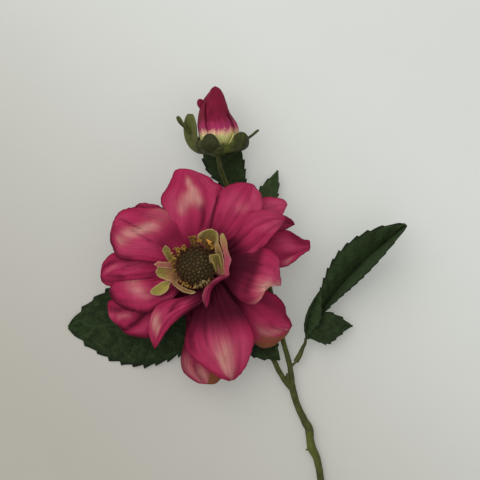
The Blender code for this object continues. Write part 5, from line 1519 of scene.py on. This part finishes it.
def leaflet_half(leaflet, u):
    """Half width of a leaflet without its teeth: rounded base, pointed tip."""
    w = leaflet.widest
    power = np.where(u < w, 3.0, 2.3)
    u = np.clip(u, 1e-4, 1 - 1e-4)
    return leaflet.half * ((u / w) ** w * ((1 - u) / (1 - w)) ** (1 - w)) ** power


def leaflet_line(leaflet, u):
    """Midrib of a leaflet with its side and normal."""
    root, mid, tip = (np.array(point, float) for point in (leaflet.root, leaflet.mid, leaflet.tip))
    tangent = unit((mid - root) * (1 - u[:, None]) + (tip - mid) * u[:, None])
    side = unit(np.cross((0, 0, 1.0), tangent))
    return quadratic(root, mid, tip, u), side, np.cross(tangent, side)


def leaflet_sheet(shell, leaflet, number, fresh):
    """Leaflet folded along its midrib, with saw teeth, quilting between its veins and a wavy edge."""
    rows, columns = 18 * leaflet.teeth, 32
    u = np.linspace(0.02, 0.992, rows + 1)
    v = np.linspace(-1, 1, columns + 1)[None]
    centre, side, normal = leaflet_line(leaflet, u)
    half = leaflet_half(leaflet, u)
    phase = (u - 0.08) / 0.9 * leaflet.teeth
    tooth = np.where((u > 0.08) & (u < 0.98), (phase % 1.0) ** 1.3, 0.4) - 0.35
    tooth = tooth * np.minimum(0.085 * max(leaflet.half, 12),
                               0.32 * half) * (1 + 0.25 * np.sin(2.4 * phase + number))
    half = np.maximum(half, np.where(u > 0.5, 0.5, 1.3))
    edge = smoothstep(0.86, 1.0, abs(v))
    reach = half[:, None] * abs(v) + tooth[:, None] * edge
    fold = np.radians(np.where(v > 0, leaflet.folds[0], leaflet.folds[1]))
    rise = reach * np.sin(fold) - leaflet.arch * half[:, None] * v ** 2
    lines = u[:, None] * (leaflet.teeth * 0.72) - 1.15 * abs(v) ** 1.1 * (leaflet.half / 20) ** 0.3 + 0.3
    ridge = np.clip(1 - abs((lines % 1.0) - 0.5) * 9.0, 0, 1) * smoothstep(0.03, 0.15, abs(v))
    ridge = ridge * (1 - smoothstep(0.80, 0.98, abs(v)))
    midrib = hump(v, 0, 0.035 * 20 / leaflet.half) * (1 - 0.6 * u[:, None])
    quilt = np.cos(2 * np.pi * (lines - 0.5)) * smoothstep(0.05, 0.35, abs(v))
    quilt = quilt * (1 - smoothstep(0.8, 1.0, abs(v)))
    puff = (-0.022 * quilt - 0.012 * ridge) * leaflet.half - 0.35 * midrib
    points = centre[:, None] + side[:, None] * (reach * np.cos(fold) * np.sign(v))[..., None]
    wave = rough(points, 0.12, 9.0 * number) * 1.1 * abs(v) + rough(points, 0.5, number) * 0.22
    points = points + normal[:, None] * (rise + puff + wave)[..., None]
    points[..., 2] = np.maximum(points[..., 2], 0.35)
    vein = np.maximum(0.7 * ridge, np.broadcast_to(midrib, ridge.shape) * 1.2)
    # the last field is the leaflet's painted light, which lightens its green
    shell.grid(points, chart(v, u[:, None]), vein=vein, fresh=fresh)


class DAHLIA_OT_leaves(bpy.types.Operator):
    """Make the cloth of the three leaf sprigs"""
    bl_idname = "dahlia.leaves"
    bl_label = "Leaves"
    bl_options = {"REGISTER", "UNDO"}

    def execute(self, context):
        cloth = leaf_cloth()
        for number, (side, leaflets, painted_lights, _, _) in enumerate(SPRIGS):
            shell = Shell()
            # each leaflet gets its share of painted light
            for k, (leaflet, fresh) in enumerate(zip(leaflets, painted_lights)):
                leaflet_sheet(shell, leaflet, 3 * number + k + 1, fresh)
            piece = shell.make(f"leaf_{side}_cloth", cloth, settings("leaves").thickness, 75)
            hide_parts(f"leaf_{side}_blades")
        return {"FINISHED"}


def sleeve(shell, route):
    """Open sleeve: its wall inside, and the rounded rim out to the stalk's outer wall."""
    start, along = first_step(route)
    ends = [(*start, SLEEVE_BORE), (*(start + along * 3.0), SLEEVE_BORE)]
    rod(shell, ends, 14, 6, ends=False, worn=0.0)
    rim = [(*start, SLEEVE_BORE), (*(start - along * 0.12), SLEEVE_BORE + 0.25), (*start, SLEEVE_RADIUS)]
    rod(shell, rim, 14, 6, ends=False, worn=0.6)


class DAHLIA_OT_stalks(bpy.types.Operator):
    """Make the stalks of the leaf sprigs, with their sleeves and ribs"""
    bl_idname = "dahlia.stalks"
    bl_label = "Leaf stalks"
    bl_options = {"REGISTER", "UNDO"}

    def execute(self, context):
        plastic = stem_plastic()
        for number, (side, leaflets, _, route, _) in enumerate(SPRIGS):
            shell = Shell()
            joint = None
            for leaflet in leaflets[:2]:
                u = np.linspace(0, 0.86, 12)
                centre, _, normal = leaflet_line(leaflet, u)
                under = centre - normal * RIB_DROP
                radius = RIB_RADIUS * (1 - 0.35 * np.linspace(0, 1, 12))
                rod(shell, np.column_stack([under, radius]), 10, 60, 0.06, number, worn=0.2)
                joint = under[0] if joint is None else joint
            rod(shell, [*route, (*joint, RIB_RADIUS + 0.1)], 14, 40, 0.08, number + 5, ends=False, worn=0.1)
            sleeve(shell, route)
            piece = shell.make(f"leaf_{side}_stalk_moulded", plastic)
            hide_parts(f"leaf_{side}_stalk")
        return {"FINISHED"}


class DAHLIA_OT_stem(bpy.types.Operator):
    """Make the forked stem with its nodes, stub, nib and pegs"""
    bl_idname = "dahlia.stem"
    bl_label = "Stem"
    bl_options = {"REGISTER", "UNDO"}

    def execute(self, context):
        shell = Shell()
        rod(shell, MAIN_STEM, 22, 260, 0.22, 1.0, ends=False, worn=0.15)
        start, along = first_step(MAIN_STEM)
        rod(shell, [MAIN_STEM[0], (*(start - along * 0.02), WIRE_BORE), (*(start + along * 3), WIRE_BORE)],
            22, 12, ends=False, worn=0.5)
        rod(shell, BUD_BRANCH, 18, 220, 0.16, 2.0, worn=0.15)
        rod(shell, BLOOM_BRANCH, 18, 160, 0.16, 3.0, worn=0.15)
        rod(shell, STUB, 14, 20, 0.15, 4.0, worn=0.3)
        rod(shell, NIB, 12, 16, 0.05, 5.0, worn=0.4)
        for _, _, _, route, foot in SPRIGS:
            start, along = first_step(route)
            rod(shell, [(*foot, 0.9), (*(0.4 * np.array(foot) + 0.6 * (start - 0.9 * along)), 0.65),
                        (*start, PEG_RADIUS), (*(start + along * PEG_LENGTH), PEG_RADIUS)], 12, 20,
                worn=0.1)
        piece = shell.make("stem_moulded", stem_plastic())
        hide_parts("stem")
        return {"FINISHED"}


class DAHLIA_OT_wire(bpy.types.Operator):
    """Give the steel wire its drawn finish"""
    bl_idname = "dahlia.wire"
    bl_label = "Wire"
    bl_options = {"REGISTER", "UNDO"}

    def execute(self, context):
        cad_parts["stem_wire"].data.materials[0] = drawn_wire()
        return {"FINISHED"}


class DAHLIA_OT_studio(bpy.types.Operator):
    """Lay the floor, set the lights and place the camera"""
    bl_idname = "dahlia.studio"
    bl_label = "Studio"
    bl_options = {"REGISTER", "UNDO"}

    def execute(self, context):
        given = settings("stage")
        floor = self.floor(given)
        target = Vector(ORIGIN + np.array(VIEW_CENTRE))
        self.world(given)
        self.key(given, target)
        self.camera(given, target)
        return {"FINISHED"}

    def add(self, name, data, place):
        """New object at a place."""
        obj = bpy.data.objects.new(name, data)
        obj.location = place
        bpy.context.collection.objects.link(obj)
        return obj

    def floor(self, given):
        """Wide sheet of pale card that glows faintly, which keeps the shadows on it soft."""
        reach = FLOOR_REACH
        mesh = bpy.data.meshes.new("floor")
        mesh.from_pydata([(-reach, -reach, 0), (reach, -reach, 0), (reach, reach, 0), (-reach, reach, 0)],
                         [], [(0, 1, 2, 3)])
        mat, board, shader = material("pale_card")
        split = board.node("SeparateXYZ", Vector=board.place())
        far = board.math("MULTIPLY_ADD", split.outputs[1], SHADE_SLANT, split.outputs[0])
        middle = float(ORIGIN[0] + SHADE_SLANT * ORIGIN[1])
        shade = board.step(far, middle - SHADE_REACH, middle + SHADE_REACH)
        base = board.mix(shade, given.floor_dim, given.floor)
        tint = board.group(mottle(), Colour=base, Amount=0.02, Scale=9.0)
        grain = board.noise(board.place(), 1500.0, 2.0)
        board.put(shader.inputs["Base Color"], tint[0])
        board.put(shader.inputs["Emission Color"], tint[0])
        board.put(shader.inputs["Normal"], bump(board, grain, 0.00002))
        shader.inputs["Emission Strength"].default_value = given.glow
        shader.inputs["Roughness"].default_value = 0.9
        shader.inputs["Specular IOR Level"].default_value = 0.2
        mesh.materials.append(mat)
        return self.add("floor", mesh, (0, 0, -FLOOR_DROP))

    def world(self, given):
        """Even light from all round."""
        world = bpy.data.worlds.new("studio")
        world.use_nodes = True
        sky = world.node_tree.nodes["Background"]
        sky.inputs["Color"].default_value = SKY_TINT
        sky.inputs["Strength"].default_value = given.ambient
        bpy.context.scene.world = world

    def key(self, given, target):
        """Large square light aimed at the bloom."""
        data = bpy.data.lights.new("key", "AREA")
        data.shape = "SQUARE"
        data.size = KEY_SIZE
        data.energy = given.key
        data.color = KEY_TINT
        lamp = self.add("key", data, target + Vector(KEY_PLACE))
        lamp.rotation_mode = "QUATERNION"
        lamp.rotation_quaternion = (-Vector(KEY_PLACE)).to_track_quat("-Z", "Y")

    def camera(self, given, target):
        """Camera that looks straight down on the bloom."""
        data = bpy.data.cameras.new("camera")
        data.lens = LENS
        data.sensor_width = SENSOR
        data.clip_start = 0.05
        data.clip_end = 20.0
        scene = bpy.context.scene
        scene.camera = self.add("camera", data, target + Vector((0, 0, given.camera_height)))
        scene.view_settings.view_transform = "Standard"


OPERATORS = (
    DAHLIA_OT_studio, DAHLIA_OT_stem, DAHLIA_OT_wire, DAHLIA_OT_stalks, DAHLIA_OT_leaves,
    DAHLIA_OT_calyx, DAHLIA_OT_petals, DAHLIA_OT_petaloids, DAHLIA_OT_stamens,
    DAHLIA_OT_seed_head, DAHLIA_OT_bud_calyx, DAHLIA_OT_bud,
)


class DAHLIA_PT_sidebar(bpy.types.Panel):
    """Settings and makers of the spray"""
    bl_idname = "DAHLIA_PT_sidebar"
    bl_label = "Dahlia Spray"
    bl_space_type = "VIEW_3D"
    bl_region_type = "UI"
    bl_category = "Dahlia"

    def draw(self, context):
        for group in GROUPS:
            name = part_of(group)
            box = self.layout.box()
            box.label(text=name.capitalize())
            for prop in group.__annotations__:
                box.prop(settings(name), prop)
        for operator in OPERATORS:
            self.layout.operator(operator.bl_idname)


def register():
    for group in GROUPS:
        bpy.utils.register_class(group)
        setattr(bpy.types.Scene, "dahlia_" + part_of(group), PointerProperty(type=group))
    for operator in OPERATORS:
        bpy.utils.register_class(operator)
    bpy.utils.register_class(DAHLIA_PT_sidebar)


def unregister():
    bpy.utils.unregister_class(DAHLIA_PT_sidebar)
    for operator in reversed(OPERATORS):
        bpy.utils.unregister_class(operator)
    for group in reversed(GROUPS):
        delattr(bpy.types.Scene, "dahlia_" + part_of(group))
        bpy.utils.unregister_class(group)


def main():
    """Make the whole spray."""
    register()
    for operator in OPERATORS:
        space, name = operator.bl_idname.split(".")
        getattr(getattr(bpy.ops, space), name)()


if __name__ == "__main__":
    main()
